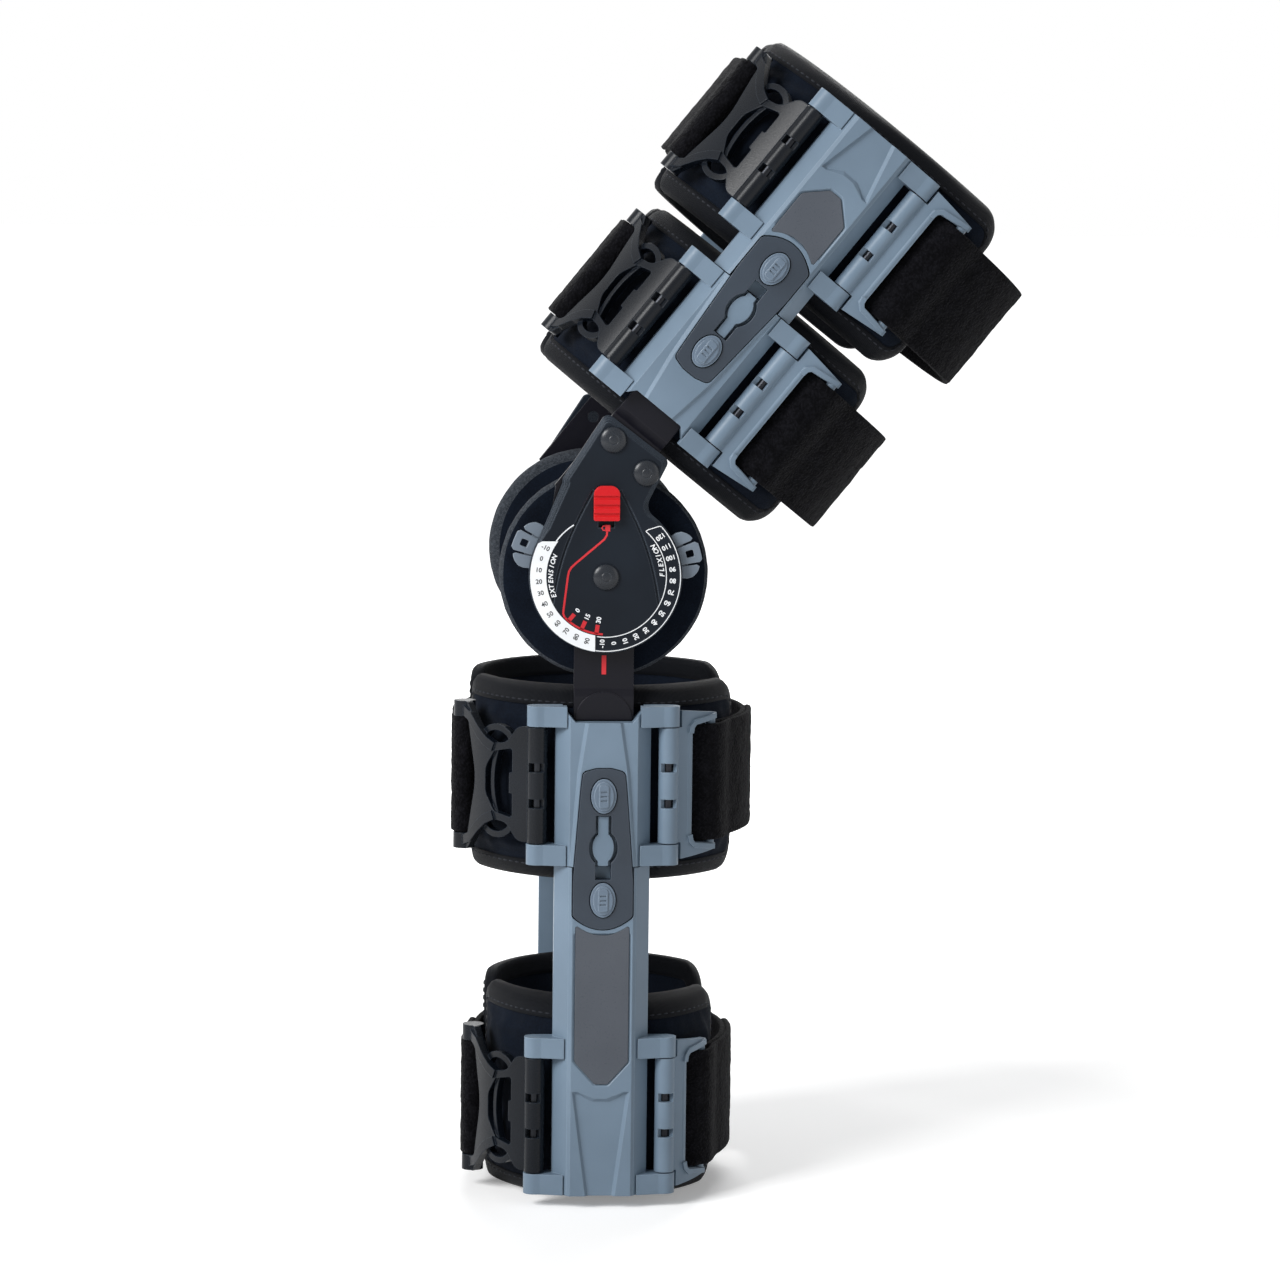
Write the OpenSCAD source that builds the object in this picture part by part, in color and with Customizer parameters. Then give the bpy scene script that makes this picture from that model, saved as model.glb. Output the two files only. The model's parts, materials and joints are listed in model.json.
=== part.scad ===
// Hinged knee brace with two telescoping side struts, four padded cuffs and two
// range-of-motion hinges. All sizes are in millimetres.
//
// Frame: the origin is the middle of the knee, on the hinge axis. +Z is up, the calf hangs
// straight down, the shin faces -X, and the outer side of the leg faces -Y.
//
// Every piece of a strut is drawn in the strut's own frame: x across it (+x to the rear),
// y along it (away from the knee) and z outward from the leg.

/* [Knee] */
// Angle between the thigh strut and the calf strut's own line
knee_bend = 39; // [0:1:45]
// Half the distance between the two hinge pads
knee_half = 54; // [48:1:64]

/* [Hinge] */
// Diameter of the foam pad under each hinge
hinge_pad_d = 88; // [80:1:92]
// Thickness of the foam pad under each hinge
hinge_pad_t = 11.5; // [8:0.5:16]
// Diameter of the steel plate behind the hinge
back_plate_d = 62; // [56:1:66]
// Thickness of the steel plate behind the hinge
back_plate_t = 2.3; // [1.5:0.1:4]
// Radius of the round dial part of the hinge cover
dial_r = 32; // [31:0.5:34]
// Thickness of the hinge cover
cover_t = 4; // [3:0.2:6]
// Radius of the inner edge of the dial's scale ring
scale_r = 25.2; // [23:0.2:27]
// Diameter of the rivet heads
rivet_head_d = 11; // [8:0.5:12]
// Diameter of the rivet shanks
rivet_d = 5; // [4:0.5:6]
// Height of the rivet heads
rivet_head_t = 1.8; // [1:0.1:2.5]
// Running gap between plates that turn on each other
running_gap = 0.2; // [0.1:0.05:0.4]

/* [Motion stops] */
// Outer radius of the sliding stops
stop_outer_r = 41; // [40:0.5:43]
// Inner radius of the sliding stops
stop_inner_r = 30.6; // [30:0.2:31.6]
// Angle that one stop covers, its two wings included
stop_angle = 33; // [24:1:36]
// Position of the extension stop, from straight forward towards the top
extension_stop_at = 22; // [10:1:24]
// Position of the flexion stop, from straight back towards the top
flexion_stop_at = 15; // [0:1:30]

/* [Quick lock] */
// Width of the red slider
lock_w = 10.8; // [8:0.2:11.4]
// Length of the red slider
lock_l = 14.5; // [12:0.5:16]
// Height of the red slider above the cover
lock_h = 3; // [2:0.2:4]
// Distance from the hinge axis to the slider's middle when open
lock_r = 30.8; // [29:0.2:32]
// Travel of the slider towards the hinge axis
lock_travel = 5; // [3:0.5:6]

/* [Struts] */
// Width of the aluminium bars
bar_w = 25; // [20:0.5:26]
// Thickness of the aluminium bars
bar_t = 3; // [2:0.1:3.4]
// Distance that the thigh strut runs in front of the hinge axis
thigh_strut_front = 28; // [24:1:30]
// Outward step of the thigh bars between hinge and frame
thigh_step = 2.5; // [0:0.1:2.6]
// Outward step of the calf bars between hinge and frame
calf_step = 2; // [0:0.1:2.2]
// Distance from the hinge axis to the start of the thigh frames
thigh_frame_start = 61.6; // [60:0.2:66]
// Distance from the hinge axis to the start of the calf frames
calf_frame_start = 54.6; // [53:0.2:60]

/* [Frames] */
// Width of the frame bodies
frame_w = 40; // [36:0.5:42]
// Depth of the frame bodies
frame_depth = 12; // [11:0.5:14]
// Width of the flat front of the frame bodies
frame_face_w = 28.4; // [28:0.2:31]
// Plastic under the bar
frame_floor = 3; // [2:0.1:4]
// Height of the raised spine on the frame bodies
spine_h = 1.2; // [0.6:0.1:2]
// Length of the frames next to the hinge
inner_frame_l = 67; // [66:0.5:70]
// Length of the outer thigh frame
thigh_outer_l = 83.6; // [82:0.5:95]
// Length of the outer calf frame
calf_outer_l = 140; // [136:1:160]
// Dark line between the two frames of a strut
seam_gap = 0.4; // [0.3:0.1:1]
// Length of each pair of ears that hold a strap pin, measured along the strut
ear_l = 8.6; // [8:0.2:10]
// Distance from the strut's middle to the strap pins
pin_reach = 27.5; // [27:0.5:30]
// Diameter of the strap pins
pin_d = 4; // [3:0.1:4.4]
// Diameter of an ear around its pin
ear_d = 9; // [8:0.2:9.4]
// Play between the bar and its channel
channel_gap = 0.3; // [0.2:0.05:0.5]

/* [Length track] */
// Length of the dark track that bridges the two frames of a strut
track_l = 68; // [66:0.5:70]
// Width of the track at its narrow end
track_narrow_w = 17.5; // [16:0.5:19]
// Width of the track at its wide end
track_wide_w = 25.2; // [24:0.2:25.6]
// Thickness of the track
track_t = 5; // [4:0.2:5.4]
// Width of the oval push buttons
button_w = 10.6; // [9:0.2:11]
// Length of the oval push buttons
button_l = 14.6; // [12:0.2:15]
// Travel of the push buttons
button_travel = 1.5; // [1:0.1:1.8]
// How far the buttons stand out of the track
button_proud = 1.4; // [1:0.1:2]
// Travel that lengthens the thigh strut
thigh_travel = 45; // [30:1:45]
// Travel that lengthens the calf strut
calf_travel = 75; // [50:1:80]

/* [Cuffs] */
// Depth of the leg, front to back, at the upper thigh cuff
upper_thigh_depth = 138; // [120:1:150]
// Depth of the leg at the lower thigh cuff
lower_thigh_depth = 124; // [110:1:136]
// Depth of the leg at the upper calf cuff
upper_calf_depth = 104; // [96:1:120]
// Depth of the leg at the lower calf cuff
lower_calf_depth = 90; // [86:1:104]
// Width of the leg at both thigh cuffs
thigh_width = 119; // [108:1:121]
// Width of the leg at the upper calf cuff
upper_calf_width = 110; // [100:1:113]
// Width of the leg at the lower calf cuff
lower_calf_width = 100; // [92:1:106]
// How far the thigh's middle lies behind its strut
thigh_shift = 18; // [10:1:22]
// How far the calf's middle lies behind its strut
calf_shift = 4; // [0:1:8]
// Thickness of the foam pads away from the frames
pad_t = 7; // [5:0.5:9]
// Outward swell of the pads where the frames press on them
pad_swell = 9; // [7:0.5:12]
// Radius of the pads' corners
pad_corner_r = 16; // [8:1:22]
// Angle between the shin's middle line and the front end of each pad
pad_front_gap = 9; // [6:1:16]

/* [Straps] */
// Width of the straps
strap_w = 48; // [40:0.5:48.6]
// Thickness of the straps
strap_t = 2.4; // [1.5:0.1:3]
// Diameter of the barrels that turn on the strap pins
barrel_d = 8.4; // [7.4:0.2:9]
// Distance from pin to strap bar on the front buckles
buckle_l = 45; // [40:1:48]
// How far the front buckles' strap bars stand off the pads, beyond a strap's thickness
buckle_lift = 4.8; // [0:0.2:8]
// Distance from pin to strap bar on the rear loops
loop_l = 23; // [20:0.5:26]
// Diameter of the bars that the straps fold round
strap_bar_d = 4.4; // [3.5:0.1:5]
// Thickness of the buckles and loops
buckle_t = 3.2; // [2.6:0.1:3.8]

/* [Hidden] */
$fn = 64;
// A cut runs this far past the faces that it goes through
past = 1;
// Radial clearance of holes that turn on a pin
turning_fit = 0.06;

// Colours
frame_grey = [0.47, 0.53, 0.59];
charcoal = [0.19, 0.20, 0.22];
bar_black = [0.13, 0.13, 0.15];
gunmetal = [0.24, 0.26, 0.28];
label_grey = [0.35, 0.37, 0.39];
button_grey = [0.51, 0.56, 0.61];
steel = [0.62, 0.63, 0.65];
lock_red = [0.86, 0.18, 0.18];
stop_grey = [0.66, 0.70, 0.74];
pad_black = [0.07, 0.09, 0.12];
strap_black = [0.05, 0.05, 0.06];
buckle_black = [0.10, 0.10, 0.11];

// Layers of the hinge, from the leg outward
back_z = knee_half + hinge_pad_t;
calf_bar_z = back_z + back_plate_t + running_gap;
thigh_bar_z = calf_bar_z + bar_t + running_gap;
cover_z = thigh_bar_z + bar_t;
cover_top_z = cover_z + cover_t;

// Underside of the frames: the bar lies on the frame's floor
thigh_frame_z = thigh_bar_z + thigh_step - frame_floor;
calf_frame_z = calf_bar_z + calf_step - frame_floor;
// Height of the strap pins above a frame's underside
pin_up = ear_d / 2 + 0.5;
spine_top = frame_depth + spine_h;
track_proud = 0.4;
track_floor = spine_top + track_proud - track_t;
track_clear = 0.3;
// The track starts this far into the inner frame
track_start = inner_frame_l - track_l * 0.61;
near_button_y = track_start + button_l * 0.79;
far_button_y = track_start + track_l - button_l * 0.86;
keyhole_y = (near_button_y + far_button_y) / 2;

// The thigh cover's quick lock lies on the line that is upright in this pose
lock_turn = 39;
neck_len = 54;
// The two neck rivets, across and along the strut from the hinge axis
neck_rivets = [[-34, 46], [-14.6, 44]];

// Bars inside the outer frames stop short of the far end
bar_end_gap = 8;
window_l = inner_frame_l - 2 * ear_l;
barrel_l = window_l - 1;
// The outer frames' brackets have the same window
thigh_outer_start = inner_frame_l + seam_gap;
thigh_bracket_y = thigh_outer_start + thigh_outer_l - inner_frame_l;
calf_bracket_y = thigh_outer_start + calf_outer_l - inner_frame_l;

// ---- Geometry helpers ----

function unit(v) = v / norm(v);

// One corner of an outline: [x, y, radius], turned into an arc
function corner(before, at, after, steps = 6) =
    let (
        a = unit([before[0] - at[0], before[1] - at[1]]),
        b = unit([after[0] - at[0], after[1] - at[1]]),
        half = acos(max(-1, min(1, a * b))) / 2,
        radius = at[2]
    )
    radius == 0 ? [[at[0], at[1]]] :
    let (
        middle = [at[0], at[1]] + unit(a + b) * radius / sin(half),
        from = [at[0], at[1]] + a * radius / tan(half) - middle,
        to = [at[0], at[1]] + b * radius / tan(half) - middle,
        start = atan2(from[1], from[0]),
        turn = (atan2(to[1], to[0]) - start + 540) % 360 - 180
    )
    [for (i = [0:steps]) middle + radius * [cos(start + turn * i / steps), sin(start + turn * i / steps)]];

// An outline with rounded corners from a list of [x, y, radius]
function rounded(points, steps = 6) = [
    for (i = [0:len(points) - 1])
        each corner(points[(i + len(points) - 1) % len(points)], points[i],
                    points[(i + 1) % len(points)], steps)
];

// The outline of an ellipse with full axes w and l
function oval(w, l, steps = 48) =
    [for (i = [0:steps - 1]) [w / 2 * cos(i * 360 / steps), l / 2 * sin(i * 360 / steps)]];

// A band of the given thickness along an open line of points
function ribbon(points, thick) =
    let (
        last = len(points) - 1,
        side = [for (i = [0:last])
            let (d = unit(points[min(i + 1, last)] - points[max(i - 1, 0)]))
            [-d[1], d[0]] * thick / 2]
    )
    concat([for (i = [0:last]) points[i] + side[i]], [for (i = [last:-1:0]) points[i] - side[i]]);

// Mirrors an outline's right half, given from bottom to top, to its left half
function both_halves(points) =
    concat(points, [for (i = [len(points) - 1:-1:0]) [-points[i][0], points[i][1], points[i][2]]]);

// Extrudes a section in the x-z plane along y, from one place to another
module run_along(from, to) {
    translate([0, to, 0])
        rotate([90, 0, 0])
            linear_extrude(to - from)
                children();
}

module on_side(medial) {
    if (medial)
        mirror([0, 1, 0]) children();
    else
        children();
}

// Strut frames, centred on the hinge axis
module on_thigh(medial = false) {
    on_side(medial)
        rotate([0, knee_bend, 0])
            rotate([90, 0, 0])
                children();
}

module on_calf(medial = false) {
    on_side(medial)
        mirror([0, 0, 1])
            rotate([90, 0, 0])
                children();
}

// Frames of the mouldings: the start of the inner frame, at its underside
module at_thigh_frame(medial = false) {
    on_thigh(medial)
        translate([-thigh_strut_front, thigh_frame_start, thigh_frame_z])
            children();
}

module at_calf_frame(medial = false) {
    on_calf(medial)
        translate([0, calf_frame_start, calf_frame_z])
            children();
}

// ---- Hinge ----

// Neck of the cover: offset to the front, with a step where it leaves the dial. The dial's
// own edge is less rounded than the neck's, so that the scale reaches its rim
module cover_outline(edge = 0) {
    in_right = edge * 0.6;
    top_r = 3 - edge * 0.4;
    circle(r = dial_r - min(edge, 1) * 1.1, $fn = 128);
    polygon(rounded([
        [-30.6 + edge, -8.6, 0], [-38.6 + edge, 18.4 + edge, 1.5], [-39.9 + edge, 20.4 + edge * 0.3, 1],
        [-43.3 + edge, neck_len - 1 - edge, top_r], [-10.2 - in_right, neck_len - edge, top_r],
        [-5.4 - in_right, 32 - in_right, 6], [2, 31.9 - in_right, 0], [0, 0, 0]
    ]));
}

// One side of the line that is drawn in from the scale ring to the lock
function face_line(side) =
    let (top = lock_r + lock_l / 2 - 2)
    [for (t = [0:0.1:1])
        [side * (22.2 * (1 - t) + 5.6 * t + 2.8 * sin(180 * t)), -11.5 * (1 - t) + top * t]];

module lock_slot() {
    slot_w = lock_w - 4.2;
    translate([-slot_w / 2, lock_r - lock_l / 2 - lock_travel + 2])
        square([slot_w, lock_l + lock_travel - 4]);
}

module hinge_cover(medial) {
    groove_w = 0.9;
    groove_d = 0.7;
    // Steps of the rounded edge: how far each lies in, and how far below the top
    edge_steps = [[0, 1.6], [0.7, 0.9], [1.4, 0.4], [2.2, 0]];
    on_thigh(medial)
        translate([0, 0, cover_z])
            difference() {
                union() {
                    for (step = edge_steps) linear_extrude(cover_t - step[1]) cover_outline(step[0]);
                }
                rotate(lock_turn) {
                    translate([0, 0, cover_t - groove_d])
                        linear_extrude(groove_d + past)
                            for (side = [-1, 1]) polygon(ribbon(face_line(side), groove_w));
                    translate([0, 0, -past]) linear_extrude(cover_t + 2 * past) lock_slot();
                }
                for (spot = concat([[0, 0]], neck_rivets))
                    translate([spot[0], spot[1], -past])
                        cylinder(d = rivet_d, h = cover_t + 2 * past);
            }
}

module hinge_back_plates() {
    color(steel)
        for (medial = [false, true])
            on_thigh(medial)
                translate([0, 0, back_z])
                    difference() {
                        cylinder(d = back_plate_d, h = back_plate_t, $fn = 96);
                        translate([0, 0, -past])
                            cylinder(d = rivet_d, h = back_plate_t + 2 * past);
                    }
}

// Domed rivets: the middle one is the knee axis, two more hold the neck
module hinge_rivets() {
    color(charcoal)
        for (medial = [false, true])
            on_thigh(medial) {
                rivet([0, 0], back_z + 0.3);
                for (spot = neck_rivets) rivet(spot, thigh_bar_z + 0.1);
            }
}

module rivet(spot, from_z) {
    edge_t = 0.6;
    dome_t = rivet_head_t - edge_t;
    dome_r = (pow(rivet_head_d / 2, 2) + pow(dome_t, 2)) / (2 * dome_t);
    translate([spot[0], spot[1], 0]) {
        translate([0, 0, from_z]) cylinder(d = rivet_d, h = cover_top_z - from_z);
        translate([0, 0, cover_top_z])
            rotate_extrude($fn = 64)
                intersection() {
                    translate([0, rivet_head_t - dome_r]) circle(r = dome_r, $fn = 256);
                    square([rivet_head_d / 2, rivet_head_t]);
                }
    }
}

module hinge_pads() {
    color(pad_black)
        for (medial = [false, true])
            on_thigh(medial)
                translate([0, 0, knee_half])
                    cylinder(d = hinge_pad_d, h = hinge_pad_t, $fn = 96);
}

// A bar: its head turns on the knee axis, and it steps outward before it enters the frame
module bar_profile(z, step, step_at, end) {
    step_l = max(3, step * 1.6);
    rotate([90, 0, 90])
        linear_extrude(bar_w, center = true)
            polygon([
                [0, z], [step_at, z], [step_at + step_l, z + step], [end, z + step],
                [end, z + step + bar_t], [step_at + step_l, z + step + bar_t],
                [step_at, z + bar_t], [0, z + bar_t]
            ]);
}

module thigh_bar(medial) {
    head_r = 28.6;
    bar_end = thigh_frame_start + thigh_outer_start + thigh_outer_l - bar_end_gap;
    color(bar_black)
        on_thigh(medial)
            difference() {
                union() {
                    translate([0, 0, thigh_bar_z]) cylinder(r = head_r, h = bar_t, $fn = 96);
                    translate([-thigh_strut_front, 0, 0])
                        intersection() {
                            bar_profile(thigh_bar_z, thigh_step, neck_len + 1, bar_end);
                            translate([-bar_w, 16, 0]) cube([2 * bar_w, bar_end, cover_top_z + 20]);
                        }
                    translate([0, 0, thigh_bar_z])
                        linear_extrude(bar_t)
                            polygon([
                                [-thigh_strut_front - bar_w / 2, 17], [-26, -8], [0, 0],
                                [8, 26], [-thigh_strut_front + bar_w / 2, 38]
                            ]);
                }
                for (spot = concat([[0, 0]], neck_rivets))
                    translate([spot[0], spot[1], thigh_bar_z - past])
                        cylinder(d = rivet_d, h = bar_t + 2 * past);
            }
}

module calf_bar(medial) {
    head_r = 29.4;
    lap_r = bar_w / 2 - 0.6;
    lap_t = 0.9;
    bar_end = calf_frame_start + thigh_outer_start + calf_outer_l - calf_travel / 3;
    in_frame = calf_bar_z + calf_step + bar_t;
    color(bar_black)
        on_calf(medial) {
            difference() {
                union() {
                    translate([0, 0, calf_bar_z]) cylinder(r = head_r, h = bar_t, $fn = 96);
                    bar_profile(calf_bar_z, calf_step, 47.5, bar_end);
                }
                translate([0, 0, calf_bar_z - past])
                    cylinder(d = rivet_d + 2 * turning_fit, h = bar_t + 2 * past);
            }
            translate([0, calf_frame_start + 6, in_frame])
                intersection() {
                    cylinder(r = lap_r, h = lap_t, $fn = 64);
                    translate([-lap_r, -lap_r, 0]) cube([2 * lap_r, lap_r, lap_t]);
                }
        }
}

// The red slider is lifted by the thumb and pushed towards the hinge axis
module quick_lock(medial) {
    corner_r = 3.6;
    stem_w = lock_w - 4.8;
    color(lock_red)
        on_thigh(medial)
            rotate(lock_turn)
                translate([0, lock_r, 0]) {
                    translate([0, 0, cover_top_z + 0.15])
                        difference() {
                            linear_extrude(lock_h)
                                polygon(rounded([
                                    [-lock_w / 2, -lock_l / 2, 0.8], [lock_w / 2, -lock_l / 2, 0.8],
                                    [lock_w / 2, lock_l / 2, corner_r], [-lock_w / 2, lock_l / 2, corner_r]
                                ]));
                            for (i = [0:2])
                                translate([-lock_w / 2 - past, -lock_l / 2 + 2.4 + i * 3.6, lock_h])
                                    rotate([0, 90, 0])
                                        cylinder(r = 0.8, h = lock_w + 2 * past, $fn = 24);
                        }
                    translate([-stem_w / 2, -lock_l / 2 + 3, cover_z + 0.4])
                        cube([stem_w, lock_l - 6, cover_t - 0.25]);
                }
}

// A stop slides round the rim of the hinge: a clip with a small window between two fins
module motion_stop(middle_angle) {
    clip_half = stop_angle * 0.19;
    z0 = thigh_bar_z + running_gap / 2;
    height = bar_t - running_gap;
    color(stop_grey)
        translate([0, 0, z0])
            rotate(middle_angle) {
                ring_part(stop_inner_r, stop_outer_r - 6, 2 - stop_angle / 2, stop_angle / 2 - 2,
                          height * 0.45);
                linear_extrude(height)
                    difference() {
                        polygon(stop_fin(-clip_half, clip_half, stop_outer_r, stop_outer_r));
                        translate([stop_outer_r - 4.6, 0])
                            polygon(rounded([
                                [-1.7, -1.5, 0.6], [1.7, -1.5, 0.6], [1.7, 1.5, 0.6], [-1.7, 1.5, 0.6]
                            ]));
                    }
                for (side = [-1, 1])
                    linear_extrude(height - 0.5)
                        scale([1, side])
                            polygon(stop_fin(clip_half + 1.4, stop_angle / 2, stop_outer_r - 1.4,
                                             stop_outer_r - 5.4));
            }
}

function polar(r, angle) = [r * cos(angle), r * sin(angle)];

// Outline of a stop's clip or fin between two angles. Its outer edge falls off along it
function stop_fin(from, to, near_r, far_r) =
    let (steps = 8, step = (to - from) / steps, chamfer = 1.1)
    concat(
        [for (i = [0:steps]) polar(stop_inner_r + 0.2, from + step * i)],
        [polar(far_r - chamfer, to)],
        [for (i = [steps - 1:-1:1]) polar(near_r + (far_r - near_r) * pow(i / steps, 2), from + step * i)],
        [polar(near_r - chamfer, from)]
    );

module ring_part(inner, outer, from, to, height) {
    steps = 16;
    intersection() {
        difference() {
            cylinder(r = outer, h = height, $fn = 128);
            translate([0, 0, -past]) cylinder(r = inner, h = height + 2 * past, $fn = 128);
        }
        translate([0, 0, -past])
            linear_extrude(height + 2 * past)
                polygon(concat([[0, 0]],
                               [for (i = [0:steps]) polar(2 * outer, from + (to - from) * i / steps)]));
    }
}

// The stops are set on the dial, so they are placed from the dial's upright line
module extension_stop(medial) {
    on_thigh(medial) rotate(lock_turn) motion_stop(180 - extension_stop_at);
}

module flexion_stop(medial) {
    on_thigh(medial) rotate(lock_turn) motion_stop(flexion_stop_at);
}

// ---- Frames ----

// Section of a frame body: flat face, sloped sides and short upright walls
module body_section() {
    wall_h = frame_depth * 0.42;
    polygon([
        [-frame_w / 2, 0], [frame_w / 2, 0], [frame_w / 2, wall_h], [frame_face_w / 2, frame_depth],
        [-frame_face_w / 2, frame_depth], [-frame_w / 2, wall_h]
    ]);
}

module channel_section() {
    translate([-bar_w / 2 - channel_gap, frame_floor - channel_gap / 2])
        square([bar_w + 2 * channel_gap, bar_t + channel_gap]);
}

// Ears at both ends of a window, on both sides of the body, with blind holes for the pins
module ears(start) {
    reach_in = frame_w / 2 - 3;
    for (y = [start, start + inner_frame_l - ear_l])
        for (side = [-1, 1])
            run_along(y, y + ear_l) {
                translate([side * pin_reach, pin_up]) circle(d = ear_d, $fn = 48);
                translate([side > 0 ? reach_in : -pin_reach, pin_up - ear_d / 2])
                    square([pin_reach - reach_in, ear_d]);
                // The arm slopes down from the body's face to the pin
                scale([side, 1])
                    polygon([
                        [15.5, pin_up], [15.5, frame_depth - 0.5],
                        [pin_reach - 1, pin_up + ear_d / 2 - 0.3], [pin_reach - 1, pin_up]
                    ]);
            }
}

// The strap pins, and the blind holes in the ears that hold them
module strap_pins(start) {
    hole_l = 6;
    for (side = [-1, 1])
        run_along(start + ear_l - hole_l, start + inner_frame_l - ear_l + hole_l)
            translate([side * pin_reach, pin_up])
                circle(d = pin_d, $fn = 48);
}

// Raised spine with sloped sides, from half-widths along the body
module spine(outline) {
    slope = 1.4;
    hull() {
        translate([0, 0, frame_depth - 0.2])
            linear_extrude(0.1) polygon(rounded(both_halves(outline)));
        translate([0, 0, spine_top - 0.1])
            linear_extrude(0.1)
                polygon(rounded(both_halves([for (p = outline) [p[0] - slope, p[1], p[2]]])));
    }
}

// Outline of the track, with room all round where it is a pocket
module track_outline(room = 0) {
    narrow = track_narrow_w / 2 + room;
    wide = track_wide_w / 2 + room;
    polygon(rounded(concat([
        [-narrow * 0.35, track_start - room, 6], [narrow * 0.35, track_start - room, 6],
        [narrow, track_start + 1.6 - room, 2.4], [narrow + 0.8, track_start + 9, 4],
        [wide, inner_frame_l + 6, 12]
    ], bowed_end(wide, track_start + track_l + room), [
        [-wide, inner_frame_l + 6, 12], [-narrow - 0.8, track_start + 9, 4],
        [-narrow, track_start + 1.6 - room, 2.4]
    ])));
}

// Bowed end of the track, from its right corner to its left one
function bowed_end(half, end) =
    [for (t = [1:-0.2:-1.05]) [half * t, end - 5.6 * t * t, abs(t) > 0.9 ? 2.4 : 0]];

module inner_frame() {
    entry_y = 6.4;
    shoulder_y = 2.4;
    difference() {
        union() {
            intersection() {
                run_along(0, inner_frame_l) body_section();
                linear_extrude(frame_depth)
                    polygon([
                        [-frame_w / 2, inner_frame_l], [-frame_w / 2, shoulder_y], [-15.5, shoulder_y],
                        [-11.8, entry_y], [11.8, entry_y], [15.5, shoulder_y],
                        [frame_w / 2, shoulder_y], [frame_w / 2, inner_frame_l]
                    ]);
            }
            spine([[8, entry_y, 0], [11.2, track_start + 2, 0], [frame_face_w / 2, inner_frame_l, 0]]);
            ears(0);
        }
        run_along(-past, inner_frame_l + past) channel_section();
        translate([0, 0, track_floor]) linear_extrude(frame_depth) track_outline(track_clear);
        strap_pins(0);
    }
    track_key();
}

// Island of the frame's own plastic that shows in the track's slot
module track_key() {
    key_top = spine_top - 0.8;
    key_w = 4.4;
    translate([0, 0, track_floor - 0.1])
        linear_extrude(key_top - track_floor) {
            translate([-key_w / 2, near_button_y + button_l / 2 + 1.4])
                square([key_w, inner_frame_l - 0.3 - near_button_y - button_l / 2 - 1.4]);
            translate([0, keyhole_y])
                difference() {
                    polygon(oval(9, 13));
                    translate([-10, inner_frame_l - 0.3 - keyhole_y]) square(20);
                }
        }
}

module track() {
    difference() {
        translate([0, 0, track_floor]) linear_extrude(track_t) track_outline();
        translate([0, 0, track_floor - past])
            linear_extrude(track_t + 2 * past) {
                for (y = [near_button_y, far_button_y])
                    translate([0, y]) polygon(oval(button_w + 0.8, button_l + 0.8));
                track_slot();
            }
    }
}

module track_slot() {
    slot_w = 6.6;
    from = near_button_y + button_l / 2 + 1;
    to = far_button_y - button_l / 2 - 1.2;
    translate([-slot_w / 2, from]) square([slot_w, to - from]);
    translate([0, keyhole_y]) polygon(oval(12, 15));
}

module push_button(y) {
    rest_z = track_floor + button_travel + 0.3;
    top_z = track_floor + track_t + button_proud;
    rim_t = 0.7;
    // Half sizes of the raised grip on its top
    grip_w = button_w * 0.19;
    grip_l = button_l * 0.33;
    color(button_grey)
        translate([0, y, 0]) {
            translate([0, 0, rest_z])
                linear_extrude(top_z - rim_t - rest_z) polygon(oval(button_w, button_l));
            translate([0, 0, top_z - rim_t])
                linear_extrude(rim_t) polygon(oval(button_w - 2.4, button_l - 2.4));
            translate([0, 0, top_z - 0.2])
                linear_extrude(0.65)
                    difference() {
                        polygon(rounded([
                            [-grip_w, -grip_l, 1], [grip_w, -grip_l, 1],
                            [grip_w, grip_l, 1], [-grip_w, grip_l, 1]
                        ]));
                        for (at = [-1.8, 0, 1.8])
                            translate([0, at]) square([grip_w * 1.3, 0.7], center = true);
                    }
        }
}

// The outer frame slides on the bar. Its cut-out goes round the track's far half
module outer_frame(length, bracket_start, label_from, label_to, ridge_from) {
    end = thigh_outer_start + length;
    end_wall = 4;
    cut_w = track_wide_w / 2 + 0.4;
    difference() {
        union() {
            run_along(thigh_outer_start, end) body_section();
            spine([[frame_face_w / 2, thigh_outer_start, 0], [frame_face_w / 2, end, 0]]);
            ears(bracket_start);
        }
        run_along(thigh_outer_start - past, end - end_wall) channel_section();
        translate([0, 0, track_floor - 0.3])
            linear_extrude(frame_depth)
                polygon(rounded(concat(
                    [[-cut_w, thigh_outer_start - past, 0], [cut_w, thigh_outer_start - past, 0]],
                    bowed_end(cut_w, track_start + track_l + 0.4)
                )));
        translate([0, 0, spine_top - 0.8])
            linear_extrude(2) label_outline(label_from, label_to, 0);
        label_rim(label_from, label_to);
        end_panel(ridge_from, end);
        strap_pins(bracket_start);
    }
}

// Sloped margin round the label, not as deep as its pocket
module label_rim(from, to) {
    hull() {
        translate([0, 0, spine_top - 0.5])
            linear_extrude(0.1) label_outline(from, to, -0.2, 0);
        translate([0, 0, spine_top])
            linear_extrude(0.1) label_outline(from, to, -1, 0);
    }
}

// Sunken panel with sloped sides that narrows to the frame's end. A tongue of the frame's
// own face reaches into its wide end
module end_panel(from, end) {
    depth = 1.25;
    difference() {
        sloped_step(depth, 0, 0.1,
                    [[-10.8, from + 1.2], [10.8, from + 1.2], [4.8, end + 1], [-4.8, end + 1]],
                    [[-12.3, from], [12.3, from], [6.2, end + 1], [-6.2, end + 1]]);
        sloped_step(depth, 0.1, 0.3,
                    [[-13.2, from - 1], [13.2, from - 1], [3.8, from + 4.6], [-3.8, from + 4.6]],
                    [[-11, from - 1], [11, from - 1], [2, from + 2.6], [-2, from + 2.6]]);
    }
}

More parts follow.
